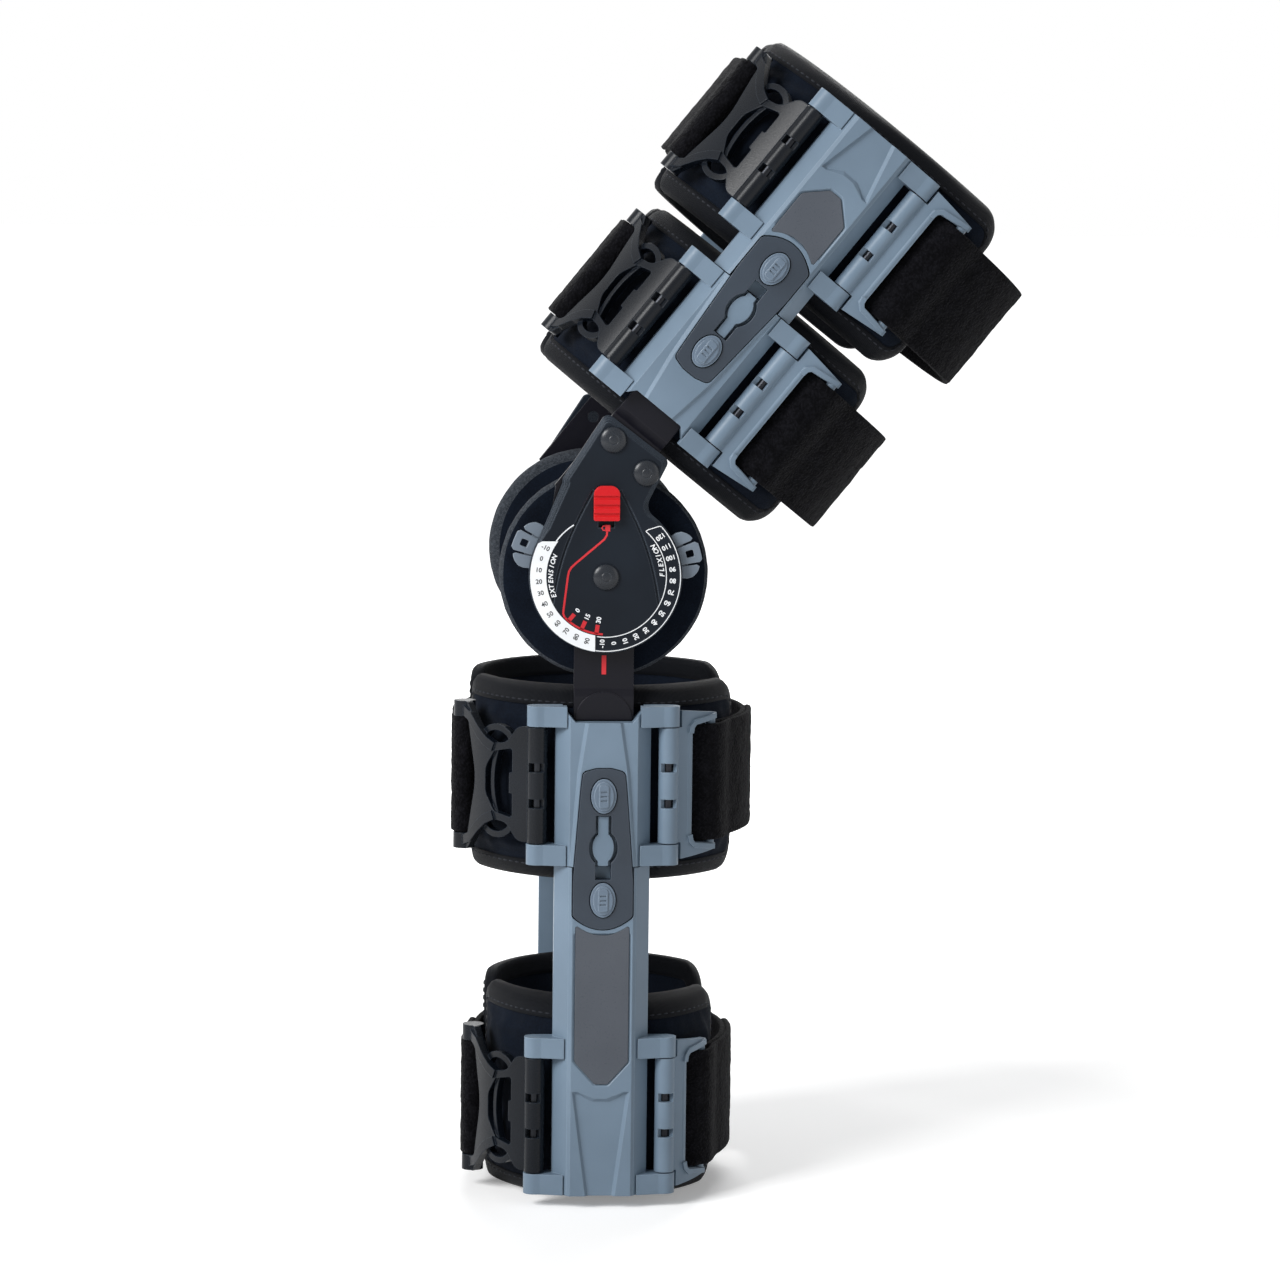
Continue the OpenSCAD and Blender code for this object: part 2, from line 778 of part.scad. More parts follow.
// Solid between an outline near the panel's floor and one near the spine's top
module sloped_step(depth, below, above, lower, upper) {
    hull() {
        translate([0, 0, spine_top - depth - below]) linear_extrude(0.05) polygon(lower);
        translate([0, 0, spine_top + above]) linear_extrude(0.05) polygon(upper);
    }
}

// Long panel with a blunt point at its far end. Its near end follows the track's bow
module label_outline(from, to, shrink, bow = 4.4) {
    half = 11.4 - shrink;
    tip = min(9.6, (to - from) * 0.34);
    polygon(rounded(both_halves(concat(
        [for (t = [0.2:0.2:1.01]) [half * t, from + shrink - bow * t * t, t > 0.9 ? 0.8 : 0]],
        [[half, to - tip, 2], [half * 0.24, to - shrink, 1.5]]
    ))));
}

thigh_label = [track_start + track_l + 2.4, track_start + track_l + 27];
calf_label = [track_start + track_l + 2.4, track_start + track_l + 66];
thigh_ridge_from = thigh_label[1] + 5;
calf_ridge_from = calf_label[1] + 3;

module thigh_outer_frame() {
    outer_frame(thigh_outer_l, thigh_bracket_y, thigh_label[0], thigh_label[1], thigh_ridge_from);
}

module calf_outer_frame() {
    outer_frame(calf_outer_l, calf_bracket_y, calf_label[0], calf_label[1], calf_ridge_from);
}

module label_plate(label) {
    color(label_grey)
        translate([0, 0, spine_top - 0.8])
            linear_extrude(0.9) label_outline(label[0], label[1], 0.15);
}

// ---- Cuffs ----

// One record for each cuff: [on the thigh, start of its window, leg depth, leg width,
// start of its pads, end of its pads, angle from straight back at which its pads end]
upper_thigh = [true, thigh_frame_start + thigh_bracket_y, upper_thigh_depth, thigh_width,
               thigh_frame_start + thigh_bracket_y - 5, thigh_frame_start + thigh_bracket_y + 74, 48];
lower_thigh = [true, thigh_frame_start, lower_thigh_depth, thigh_width,
               thigh_frame_start - 7, thigh_frame_start + 72, 40];
upper_calf = [false, calf_frame_start, upper_calf_depth, upper_calf_width,
              calf_frame_start - 6, calf_frame_start + 75, 20];
lower_calf = [false, calf_frame_start + calf_bracket_y, lower_calf_depth, lower_calf_width,
              calf_frame_start + calf_bracket_y - 13, calf_frame_start + calf_bracket_y + 72, 20];

function strut_x(cuff) = cuff[0] ? -thigh_strut_front : 0;
function leg_x(cuff) = strut_x(cuff) + (cuff[0] ? thigh_shift : calf_shift);
function frame_z(cuff) = cuff[0] ? thigh_frame_z : calf_frame_z;
function window_mid(cuff) = cuff[1] + inner_frame_l / 2;
// Outer half-axes of the pads: across the leg's depth and across its width
function pad_a(cuff) = cuff[2] / 2 + pad_t;
function pad_b(cuff) = max(cuff[3] / 2 + pad_t, frame_z(cuff) + pad_swell / 2);
soft_gap = 0.4;

module on_cuff(cuff) {
    if (cuff[0])
        on_thigh() children();
    else
        on_calf() children();
}

// Point of an ellipse with half-axes a and b round the leg's middle
function around(cuff, a, b, angle) = [leg_x(cuff) + a * cos(angle), b * sin(angle)];

// One pad: a ring segment with a flat where the frame presses on it, and rounded corners.
// It runs from behind the shin's middle line round to the angle that the cuff's record gives
module pad_half(cuff) {
    a = pad_a(cuff);
    b = pad_b(cuff);
    rear = cuff[6];
    front = 180 - pad_front_gap;
    steps = 60;
    angles = [for (i = [0:steps]) rear + (front - rear) * i / steps];
    rear_x = leg_x(cuff) + a * cos(rear) + 0.5;
    front_x = leg_x(cuff) - a - 0.5;
    intersection() {
        run_along(cuff[4], cuff[5])
            intersection() {
                polygon(concat(
                    [for (t = angles) around(cuff, a, b, t)],
                    [for (i = [steps:-1:0]) around(cuff, cuff[2] / 2, cuff[3] / 2, angles[i])]
                ));
                translate([front_x, 0]) square([rear_x - front_x, frame_z(cuff)]);
            }
        linear_extrude(frame_z(cuff) + past)
            polygon(rounded([
                [front_x, cuff[4], pad_corner_r * 0.6], [rear_x, cuff[4], pad_corner_r],
                [rear_x, cuff[5], pad_corner_r], [front_x, cuff[5], pad_corner_r * 0.6]
            ]));
    }
}

module pads(cuff) {
    color(pad_black)
        on_cuff(cuff) {
            pad_half(cuff);
            mirror([0, 0, 1]) pad_half(cuff);
        }
}

// ---- Buckles, loops and straps ----

// Height over the pads of the line on which a strap bar's middle lies
function bar_lift(side) = soft_gap + strap_bar_d / 2 + strap_t + 0.2 + (side < 0 ? buckle_lift : 0);

// Place of a pin in the leg's own frame, with the leg's middle at x = 0
function pin_at(cuff, side) =
    [strut_x(cuff) + side * pin_reach - leg_x(cuff), frame_z(cuff) + pin_up];

function off_line(cuff, side, p) =
    pow(p[0] / (pad_a(cuff) + bar_lift(side)), 2) + pow(p[1] / (pad_b(cuff) + bar_lift(side)), 2) - 1;

// Inward slope at which a piece of length l from the pin ends on that line
function slope_to_leg(cuff, side, l, low = 0, high = 89, tries = 24) =
    let (
        mid = (low + high) / 2,
        tip = pin_at(cuff, side) + l * [side * cos(mid), -sin(mid)]
    )
    tries == 0 ? mid :
    off_line(cuff, side, tip) > 0 ? slope_to_leg(cuff, side, l, mid, high, tries - 1) :
    slope_to_leg(cuff, side, l, low, mid, tries - 1);

function strap_bar_at(cuff, side, l) =
    let (slope = slope_to_leg(cuff, side, l))
    pin_at(cuff, side) + l * [side * cos(slope), -sin(slope)];

// Puts a piece that is drawn from its pin along +x on the outer side's pin
module at_pin(cuff, side, l) {
    on_cuff(cuff)
        translate([strut_x(cuff) + side * pin_reach, window_mid(cuff), frame_z(cuff) + pin_up])
            mirror([side < 0 ? 1 : 0, 0, 0])
                rotate([0, slope_to_leg(cuff, side, l), 0])
                    children();
}

// Everything within this band is bent to an arc from the pin to the strap bar
module arched(l, bend_r) {
    drop = sqrt(pow(bend_r, 2) - pow(l / 2, 2));
    intersection() {
        translate([0, 0, -30]) linear_extrude(60) children();
        rotate([90, 0, 0])
            linear_extrude(100, center = true)
                translate([l / 2, -drop])
                    difference() {
                        circle(r = bend_r + buckle_t / 2, $fn = 180);
                        circle(r = bend_r - buckle_t / 2, $fn = 180);
                    }
    }
}

// Barrel round the pin in three lengths, with two notches that show the pin
module barrel() {
    rotate([90, 0, 0]) cylinder(d = barrel_d, h = barrel_l, center = true, $fn = 48);
}

module barrel_cuts() {
    notch_at = 7.6;
    notch_w = 3.8;
    rotate([90, 0, 0])
        cylinder(d = pin_d + 2 * turning_fit, h = barrel_l + 2 * past, center = true, $fn = 48);
    for (y = [-notch_at, notch_at])
        translate([-barrel_d, y - notch_w / 2, 0]) cube([barrel_d + 1, notch_w, barrel_d]);
}

// Front buckle: an X with a window, from the barrel to the bar that the strap folds round
module buckle(cuff) {
    half = barrel_l / 2;
    arm_end = (strap_w + 2) / 2;
    far = arm_end + 6.6;
    color(buckle_black)
        at_pin(cuff, -1, buckle_l)
            difference() {
                union() {
                    barrel();
                    arched(buckle_l, 62)
                        difference() {
                            polygon(rounded(buckle_outline(half, arm_end, far)));
                            polygon(rounded([
                                [10.4, -14.8, 1.2], [20.4, -12.8, 2], [25.8, -5.4, 7], [25.8, 5.4, 7],
                                [20.4, 12.8, 2], [10.4, 14.8, 1.2], [10.4, 4.4, 0.5], [12, 4.4, 0.5],
                                [12, -4.4, 0.5], [10.4, -4.4, 0.5]
                            ]));
                        }
                    // The release clip under the plate shows as a rod in each hollow and in the window
                    translate([0, 0, -1.3])
                        arched(buckle_l, 62) {
                            for (side = [-1, 1]) scale([1, side]) polygon(ribbon(clip_rod, 2.6));
                            polygon(ribbon([for (t = [-1:0.25:1]) [22.6 - 2.8 * t * t, 14 * t]], 2));
                        }
                    // A raised rib stiffens each arm
                    translate([0, 0, 1])
                        arched(buckle_l, 62)
                            for (side = [-1, 1])
                                scale([1, side])
                                    polygon(ribbon([[20.5, 14.4], [26, 16.8], [31, 20.6], [36.6, 25.8],
                                                    [buckle_l - 1.4, far - 3.3]], 4));
                    translate([buckle_l, 0, 0])
                        rotate([90, 0, 0])
                            cylinder(d = strap_bar_d, h = 2 * far, center = true, $fn = 40);
                    for (side = [-1, 1])
                        translate([buckle_l, side * (arm_end + far) / 2, 0])
                            rotate([90, 0, 0])
                                cylinder(d = barrel_d + 0.8, h = far - arm_end, center = true, $fn = 40);
                }
                barrel_cuts();
            }
}

clip_rod = [for (a = [200:-20:-20]) [20.4 + 8.6 * cos(a), 16.4 + 6.4 * sin(a)]];

function buckle_outline(half, arm_end, far) = concat(
    [[0, -half, 0], [7.6, -half, 5], [13.4, -17, 6], [24.4, -15.6, 8], [buckle_l - 5.4, -far, 3.4],
     [buckle_l, -far, 0], [buckle_l, -arm_end, 0], [buckle_l - 6, -arm_end, 2]],
    [[buckle_l - 12.8, 0, 26]],
    [[buckle_l - 6, arm_end, 2], [buckle_l, arm_end, 0], [buckle_l, far, 0],
     [buckle_l - 5.4, far, 3.4], [24.4, 15.6, 8], [13.4, 17, 6], [7.6, half, 5], [0, half, 0]]
);

// Rear loop: plate, raised ridge and two tapering horns that carry the strap's bar
module strap_loop(cuff) {
    half = barrel_l / 2;
    inner = (strap_w + 1.2) / 2;
    outer = inner + 6.8;
    color(frame_grey)
        at_pin(cuff, 1, loop_l)
            difference() {
                union() {
                    barrel();
                    arched(loop_l, 46)
                        union() {
                            translate([0, -half]) square([10.6, 2 * half]);
                            for (side = [-1, 1])
                                scale([1, side])
                                    polygon([
                                        [5, half - 0.5], [5, outer], [loop_l + 3, outer - 2.4],
                                        [loop_l + 3, inner + 2], [10.6, inner], [10.6, half - 0.5]
                                    ]);
                        }
                    translate([0, 0, 1.2])
                        arched(loop_l, 46)
                            for (side = [-1, 1])
                                scale([1, side])
                                    polygon(ribbon([[9.2, inner - 3], [9.7, inner - 0.4], [11.6, inner + 1.5],
                                                    [loop_l + 1.6, inner + 3.3]], 2.2));
                    translate([9.2, 0, 1.6])
                        rotate([90, 0, 0])
                            cylinder(d = 3.4, h = 2 * inner, center = true, $fn = 40);
                    translate([loop_l, 0, 0])
                        rotate([90, 0, 0])
                            cylinder(d = strap_bar_d, h = 2 * inner + 7, center = true, $fn = 40);
                }
                barrel_cuts();
            }
}

// Strap: from the bar on the outer side round the leg to the pin on the inner side.
// Its line is worked out with x counted towards the strap's own side, front or rear
module strap(cuff, side, l) {
    lift = soft_gap + strap_t / 2;
    a = pad_a(cuff) + lift;
    b = pad_b(cuff) + lift;
    bar = own_side(strap_bar_at(cuff, side, l), side);
    pin = own_side(pin_at(cuff, side), side);
    reach = norm([pin[0] / a, pin[1] / b]);
    from = atan2(bar[1] / b, bar[0] / a);
    leave = atan2(pin[1] / b, pin[0] / a) - (reach > 1 ? acos(1 / reach) : 0);
    to = -min(leave, asin(min(1, (frame_z(cuff) + lift) / b)));
    steps = 40;
    // The strap comes off a lifted bar and settles on the pad over the first quarter
    off = bar_lift(side) - bar_lift(1);
    path = concat(
        [for (i = [0:steps])
            let (
                t = from + (to - from) * i / steps,
                off_here = off * (1 + cos(180 * min(1, 4 * i / steps))) / 2
            )
            [(a + off_here) * cos(t), (b + off_here) * sin(t)]],
        [[pin[0], -pin[1]]]
    );
    color(strap_black)
        on_cuff(cuff)
            translate([leg_x(cuff), window_mid(cuff), 0])
                mirror([side < 0 ? 1 : 0, 0, 0])
                    difference() {
                        union() {
                            run_along(-strap_w / 2, strap_w / 2) polygon(ribbon(path, strap_t));
                            strap_fold(bar, strap_bar_d + 2 * strap_t + 0.2, strap_w);
                            strap_fold([pin[0], -pin[1]], pin_d + 2 * strap_t + 0.2, strap_w);
                        }
                        strap_fold(bar, strap_bar_d + 0.2, strap_w + 2 * past);
                        strap_fold([pin[0], -pin[1]], pin_d + 0.2, strap_w + 2 * past);
                    }
}

// Round part of a fold, where the strap goes round a bar or a pin
module strap_fold(at, d, width) {
    translate([at[0], 0, at[1]])
        rotate([90, 0, 0])
            cylinder(d = d, h = width, center = true, $fn = 48);
}

function own_side(p, side) = [side * p[0], p[1]];

// ---- Nodes ----

module hinge_cover_lateral() { color(charcoal) hinge_cover(false); }
module hinge_cover_medial() { color(charcoal) hinge_cover(true); }
module thigh_bar_lateral() { thigh_bar(false); }
module thigh_bar_medial() { thigh_bar(true); }
module calf_bar_lateral() { calf_bar(false); }
module calf_bar_medial() { calf_bar(true); }
module quick_lock_lateral() { quick_lock(false); }
module quick_lock_medial() { quick_lock(true); }
module extension_stop_lateral() { extension_stop(false); }
module extension_stop_medial() { extension_stop(true); }
module flexion_stop_lateral() { flexion_stop(false); }
module flexion_stop_medial() { flexion_stop(true); }
module thigh_inner_frame_lateral() { color(frame_grey) at_thigh_frame(false) inner_frame(); }
module thigh_inner_frame_medial() { color(frame_grey) at_thigh_frame(true) inner_frame(); }
module thigh_outer_frame_lateral() { color(frame_grey) at_thigh_frame(false) thigh_outer_frame(); }
module thigh_outer_frame_medial() { color(frame_grey) at_thigh_frame(true) thigh_outer_frame(); }
module calf_inner_frame_lateral() { color(frame_grey) at_calf_frame(false) inner_frame(); }
module calf_inner_frame_medial() { color(frame_grey) at_calf_frame(true) inner_frame(); }
module calf_outer_frame_lateral() { color(frame_grey) at_calf_frame(false) calf_outer_frame(); }
module calf_outer_frame_medial() { color(frame_grey) at_calf_frame(true) calf_outer_frame(); }
module thigh_tracks() { color(gunmetal) for (m = [false, true]) at_thigh_frame(m) track(); }
module calf_tracks() { color(gunmetal) for (m = [false, true]) at_calf_frame(m) track(); }
module thigh_label_plates() { for (m = [false, true]) at_thigh_frame(m) label_plate(thigh_label); }
module calf_label_plates() { for (m = [false, true]) at_calf_frame(m) label_plate(calf_label); }
module thigh_near_button_lateral() { at_thigh_frame(false) push_button(near_button_y); }
module thigh_far_button_lateral() { at_thigh_frame(false) push_button(far_button_y); }
module calf_near_button_lateral() { at_calf_frame(false) push_button(near_button_y); }
module calf_far_button_lateral() { at_calf_frame(false) push_button(far_button_y); }
module thigh_near_button_medial() { at_thigh_frame(true) push_button(near_button_y); }
module thigh_far_button_medial() { at_thigh_frame(true) push_button(far_button_y); }
module calf_near_button_medial() { at_calf_frame(true) push_button(near_button_y); }
module calf_far_button_medial() { at_calf_frame(true) push_button(far_button_y); }
module thigh_inner_pins() { color(steel) for (m = [false, true]) at_thigh_frame(m) strap_pins(0); }
module thigh_outer_pins() { color(steel) for (m = [false, true]) at_thigh_frame(m) strap_pins(thigh_bracket_y); }
module calf_inner_pins() { color(steel) for (m = [false, true]) at_calf_frame(m) strap_pins(0); }
module calf_outer_pins() { color(steel) for (m = [false, true]) at_calf_frame(m) strap_pins(calf_bracket_y); }
module upper_thigh_pads() { pads(upper_thigh); }
module lower_thigh_pads() { pads(lower_thigh); }
module upper_calf_pads() { pads(upper_calf); }
module lower_calf_pads() { pads(lower_calf); }
module upper_thigh_buckle() { buckle(upper_thigh); }
module lower_thigh_buckle() { buckle(lower_thigh); }
module upper_calf_buckle() { buckle(upper_calf); }
module lower_calf_buckle() { buckle(lower_calf); }
module upper_thigh_loop() { strap_loop(upper_thigh); }
module lower_thigh_loop() { strap_loop(lower_thigh); }
module upper_calf_loop() { strap_loop(upper_calf); }
module lower_calf_loop() { strap_loop(lower_calf); }
module upper_thigh_front_strap() { strap(upper_thigh, -1, buckle_l); }
module lower_thigh_front_strap() { strap(lower_thigh, -1, buckle_l); }
module upper_calf_front_strap() { strap(upper_calf, -1, buckle_l); }
module lower_calf_front_strap() { strap(lower_calf, -1, buckle_l); }
module upper_thigh_rear_strap() { strap(upper_thigh, 1, loop_l); }
module lower_thigh_rear_strap() { strap(lower_thigh, 1, loop_l); }
module upper_calf_rear_strap() { strap(upper_calf, 1, loop_l); }
module lower_calf_rear_strap() { strap(lower_calf, 1, loop_l); }

hinge_cover_lateral();
hinge_cover_medial();
hinge_back_plates();
hinge_rivets();
hinge_pads();
thigh_bar_lateral();
thigh_bar_medial();
calf_bar_lateral();
calf_bar_medial();
quick_lock_lateral();
quick_lock_medial();
extension_stop_lateral();
extension_stop_medial();
flexion_stop_lateral();
flexion_stop_medial();
thigh_inner_frame_lateral();
thigh_inner_frame_medial();
thigh_outer_frame_lateral();
thigh_outer_frame_medial();
calf_inner_frame_lateral();
calf_inner_frame_medial();
calf_outer_frame_lateral();
calf_outer_frame_medial();
thigh_tracks();
calf_tracks();
thigh_label_plates();
calf_label_plates();
thigh_near_button_lateral();
thigh_far_button_lateral();
calf_near_button_lateral();
calf_far_button_lateral();
thigh_near_button_medial();
thigh_far_button_medial();
calf_near_button_medial();
calf_far_button_medial();
thigh_inner_pins();
thigh_outer_pins();
calf_inner_pins();
calf_outer_pins();
upper_thigh_pads();
lower_thigh_pads();
upper_calf_pads();
lower_calf_pads();
upper_thigh_buckle();
lower_thigh_buckle();
upper_calf_buckle();
lower_calf_buckle();
upper_thigh_loop();
lower_thigh_loop();
upper_calf_loop();
lower_calf_loop();
upper_thigh_front_strap();
lower_thigh_front_strap();
upper_calf_front_strap();
lower_calf_front_strap();
upper_thigh_rear_strap();
lower_thigh_rear_strap();
upper_calf_rear_strap();
lower_calf_rear_strap();
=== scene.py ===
# %% [markdown]
# # A hinged knee brace
# The mechanical model gives the hard shapes: hinge covers, bars, mouldings, buckles and
# pins. This script keeps them where they are, gives each one its finish, and makes what a
# solid model can't show well: the padded cuffs with their bound edges, the fluffy loop
# straps, the sewing, the rivets' heads, and the print on the dial.
# Everything is in metres, with Z up, the shin towards -X and the outer side towards -Y.

# %% Load the model as a fixed frame
import json
import math

import bmesh
import bpy
import numpy as np
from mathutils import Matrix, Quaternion, Vector
from mathutils import noise as field


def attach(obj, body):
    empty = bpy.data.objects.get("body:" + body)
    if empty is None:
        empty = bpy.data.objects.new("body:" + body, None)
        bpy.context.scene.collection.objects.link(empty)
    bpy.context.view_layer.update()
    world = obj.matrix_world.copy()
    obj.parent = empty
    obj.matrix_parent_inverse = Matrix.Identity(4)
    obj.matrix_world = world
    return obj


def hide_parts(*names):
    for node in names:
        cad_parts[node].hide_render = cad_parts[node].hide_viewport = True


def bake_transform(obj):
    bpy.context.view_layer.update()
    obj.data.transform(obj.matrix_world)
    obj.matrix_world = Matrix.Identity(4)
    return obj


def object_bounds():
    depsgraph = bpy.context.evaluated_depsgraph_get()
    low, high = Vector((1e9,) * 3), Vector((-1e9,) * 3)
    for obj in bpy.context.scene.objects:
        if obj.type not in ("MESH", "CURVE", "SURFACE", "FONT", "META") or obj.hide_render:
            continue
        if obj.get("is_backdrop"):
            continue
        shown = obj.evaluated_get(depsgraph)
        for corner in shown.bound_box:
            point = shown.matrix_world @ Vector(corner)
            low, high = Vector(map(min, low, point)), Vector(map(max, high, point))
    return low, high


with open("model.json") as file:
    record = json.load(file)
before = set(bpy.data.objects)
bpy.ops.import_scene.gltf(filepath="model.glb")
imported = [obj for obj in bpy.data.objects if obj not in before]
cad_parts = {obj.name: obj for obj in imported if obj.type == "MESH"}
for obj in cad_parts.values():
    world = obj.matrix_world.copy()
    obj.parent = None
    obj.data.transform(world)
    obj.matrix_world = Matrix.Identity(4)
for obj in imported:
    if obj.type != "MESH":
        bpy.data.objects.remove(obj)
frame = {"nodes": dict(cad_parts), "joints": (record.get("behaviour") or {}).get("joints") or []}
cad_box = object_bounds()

nodes = frame["nodes"]
scene = bpy.context.scene
MM = 0.001
print("box", [[round(v, 3) for v in corner] for corner in cad_box])

# %% [markdown]
# ## The two struts
# The thigh part leans and the calf part hangs straight down. Each strut has its own
# directions: along it, away from the knee, and across it, towards the back of the leg.
# The slides of the two length joints run along the struts, so they give the directions.

# %% Directions and places on a strut
slides = {j["name"]: Vector(j["axis"]) for j in frame["joints"] if j["name"].endswith("_length")}
ALONG = {strut: slides[strut + "_length"].normalized() for strut in ("thigh", "calf")}
OUTWARD = Vector((0, -1, 0))
ACROSS = {"thigh": Vector((ALONG["thigh"].z, 0, -ALONG["thigh"].x)), "calf": Vector((1, 0, 0))}


def place(strut, across, along, out):
    """A point given in millimetres across and along a strut, and outward from the leg's middle plane."""
    return (ACROSS[strut] * across + ALONG[strut] * along + OUTWARD * out) * MM


print("thigh strut runs along", [round(v, 3) for v in ALONG["thigh"]])

# %% [markdown]
# ## Building shader graphs
# Each finish is a node graph. A few lines of helper code keep the graphs readable: one
# turns an everyday colour, 0 to 255, into the linear numbers that shaders use, one adds a
# node and wires it, and one starts a material or a node group with named inputs.

# %% Helpers for node graphs
def tone(red, green, blue):
    """An everyday screen colour as a linear RGBA."""
    def linear(c):
        c = c / 255
        return c / 12.92 if c <= 0.04045 else ((c + 0.055) / 1.055) ** 2.4
    return (linear(red), linear(green), linear(blue), 1)


def add(tree, kind, settings=None, **inputs):
    """A node with its settings, and its inputs set to values or linked to other sockets."""
    node = tree.nodes.new(kind)
    for name, value in (settings or {}).items():
        setattr(node, name, value)
    for name, value in inputs.items():
        key = int(name[1:]) if name[0] == "_" else name.replace("_", " ")
        if isinstance(value, bpy.types.NodeSocket):
            tree.links.new(value, node.inputs[key])
        else:
            node.inputs[key].default_value = value
    return node


def math_node(tree, operation, a, b=0.0):
    return add(tree, "ShaderNodeMath", {"operation": operation}, _0=a, _1=b).outputs[0]


def noise(tree, where, scale, detail=2.0, rough=0.5):
    node = add(tree, "ShaderNodeTexNoise", Vector=where, Scale=scale, Detail=detail, Roughness=rough)
    return node.outputs["Fac"]


def spread(tree, value, low, high, new_low=0.0, new_high=1.0):
    """Stretches the range low to high of a value over a new one. The middle of a noise is mostly grey."""
    return add(tree, "ShaderNodeMapRange", _0=value, _1=low, _2=high, _3=new_low, _4=new_high).outputs[0]


def blend_tones(tree, mask, low, high):
    return add(tree, "ShaderNodeMix", {"data_type": "RGBA"}, Factor=mask, _6=low, _7=high).outputs[2]


def start_group(name, inputs, outputs):
    """A node group: inputs are (name, default) and outputs are (name, kind)."""
    tree = bpy.data.node_groups.new(name, "ShaderNodeTree")
    for label, value in inputs:
        socket = tree.interface.new_socket(label, in_out="INPUT", socket_type="NodeSocketFloat")
        socket.default_value = value
    for label, kind in outputs:
        tree.interface.new_socket(label, in_out="OUTPUT", socket_type="NodeSocket" + kind)
    return tree, tree.nodes.new("NodeGroupInput").outputs, tree.nodes.new("NodeGroupOutput").inputs


def place_group(tree, group, **values):
    node = tree.nodes.new("ShaderNodeGroup")
    node.node_tree = group
    for name, value in values.items():
        node.inputs[name].default_value = value
    return node


def add_bump(tree, shader, strength, depth, height, **more):
    bump = add(tree, "ShaderNodeBump", Strength=strength, Distance=depth, Height=height, **more)
    tree.links.new(bump.outputs[0], shader.inputs["Normal"])


def start_material(name, **shader_values):
    """A material with its Principled shader, whose even values are set on its own sockets."""
    material = bpy.data.materials.new(name)
    material.use_nodes = True
    tree = material.node_tree
    shader = tree.nodes["Principled BSDF"]
    for label, value in shader_values.items():
        shader.inputs[label.replace("_", " ")].default_value = value
    return material, tree, shader


print("helpers ready")

# %% [markdown]
# ## Camera
# A product picture of a brace is taken from a good distance, nearly square to the dial, a
# little from the front and from above. The camera is placed by those angles round the
# point that it looks at, and its lens follows from how wide the view is at that point.

# %% Camera
LOOK_AT = Vector((0.0145, -0.078, -0.0263))
FROM_FRONT = math.radians(3.9)
FROM_ABOVE = math.radians(6.4)
ROLL = math.radians(0.66)
DISTANCE = 1.9
VIEW_WIDTH = 0.5328
SENSOR = 36


def link_new(name, data):
    """Puts a mesh, lamp or camera into the scene as an object."""
    thing = bpy.data.objects.new(name, data)
    scene.collection.objects.link(thing)
    return thing


camera_data = bpy.data.cameras.new("camera")
camera_data.sensor_width = SENSOR
camera_data.lens = SENSOR * DISTANCE / VIEW_WIDTH
camera_data.clip_start, camera_data.clip_end = 0.05, 20
camera = link_new("camera", camera_data)
camera.location = LOOK_AT + DISTANCE * Vector((
    -math.sin(FROM_FRONT) * math.cos(FROM_ABOVE),
    -math.cos(FROM_FRONT) * math.cos(FROM_ABOVE),
    math.sin(FROM_ABOVE),
))
facing = (LOOK_AT - camera.location).to_track_quat("-Z", "Y")
camera.rotation_euler = (facing @ Quaternion((0, 0, 1), ROLL)).to_euler()
scene.camera = camera
print("lens", round(camera_data.lens, 1), "mm, camera at", [round(v, 3) for v in camera.location])

# %% [markdown]
# ## Light and floor
# A big soft lamp from the upper left makes the long highlights on the mouldings, a weak
# one opens the shadows on the right, one from behind draws the rims, and the world fills
# the rest. To the camera, and in reflections, world and floor are plain white by their own
# colour, so the part itself gets no more than plain light. The floor adds its white on top
# of what falls on it, so only the part's soft shadow stays.

# %% World, lamps and floor
FILL = 0.17
LAMPS = {  # where it stands, its width and height, its watts
    "key_lamp": ((-1.5, -1.2, 1.1), (1.0, 1.0), 60),
    "side_lamp": ((1.5, -1.1, 0.5), (0.8, 1.4), 4),
    "back_lamp": ((0.3, 1.6, 1.2), (1.2, 1.2), 34),
}
FLOOR_NEAR, FLOOR_FAR = 0.3, 1.1    # the floor's own white grows between these distances
FLOOR_LIFT = 0.25


def seen_directly(tree):
    """1 for rays that show the surroundings: camera, mirror-like and see-through rays."""
    ray = tree.nodes.new("ShaderNodeLightPath").outputs
    shown = math_node(tree, "MAXIMUM", ray["Is Camera Ray"], ray["Is Glossy Ray"])
    return math_node(tree, "MAXIMUM", shown, ray["Is Transmission Ray"])


world = scene.world = bpy.data.worlds.new("studio")
world.use_nodes = True
sky = world.node_tree
sky.nodes.clear()
fill_light = add(sky, "ShaderNodeBackground", Color=(0.96, 0.98, 1, 1), Strength=FILL)
white = add(sky, "ShaderNodeBackground", Color=(1, 1, 1, 1), Strength=1)
choose = add(sky, "ShaderNodeMixShader", _0=seen_directly(sky), _1=fill_light.outputs[0], _2=white.outputs[0])
add(sky, "ShaderNodeOutputWorld", _0=choose.outputs[0])

for name, (spot, size, watts) in LAMPS.items():
    data = bpy.data.lights.new(name, "AREA")
    data.shape = "RECTANGLE"
    data.size, data.size_y = size
    data.energy = watts
    lamp = link_new(name, data)
    lamp.location = spot
    lamp.rotation_euler = (LOOK_AT - lamp.location).to_track_quat("-Z", "Y").to_euler()

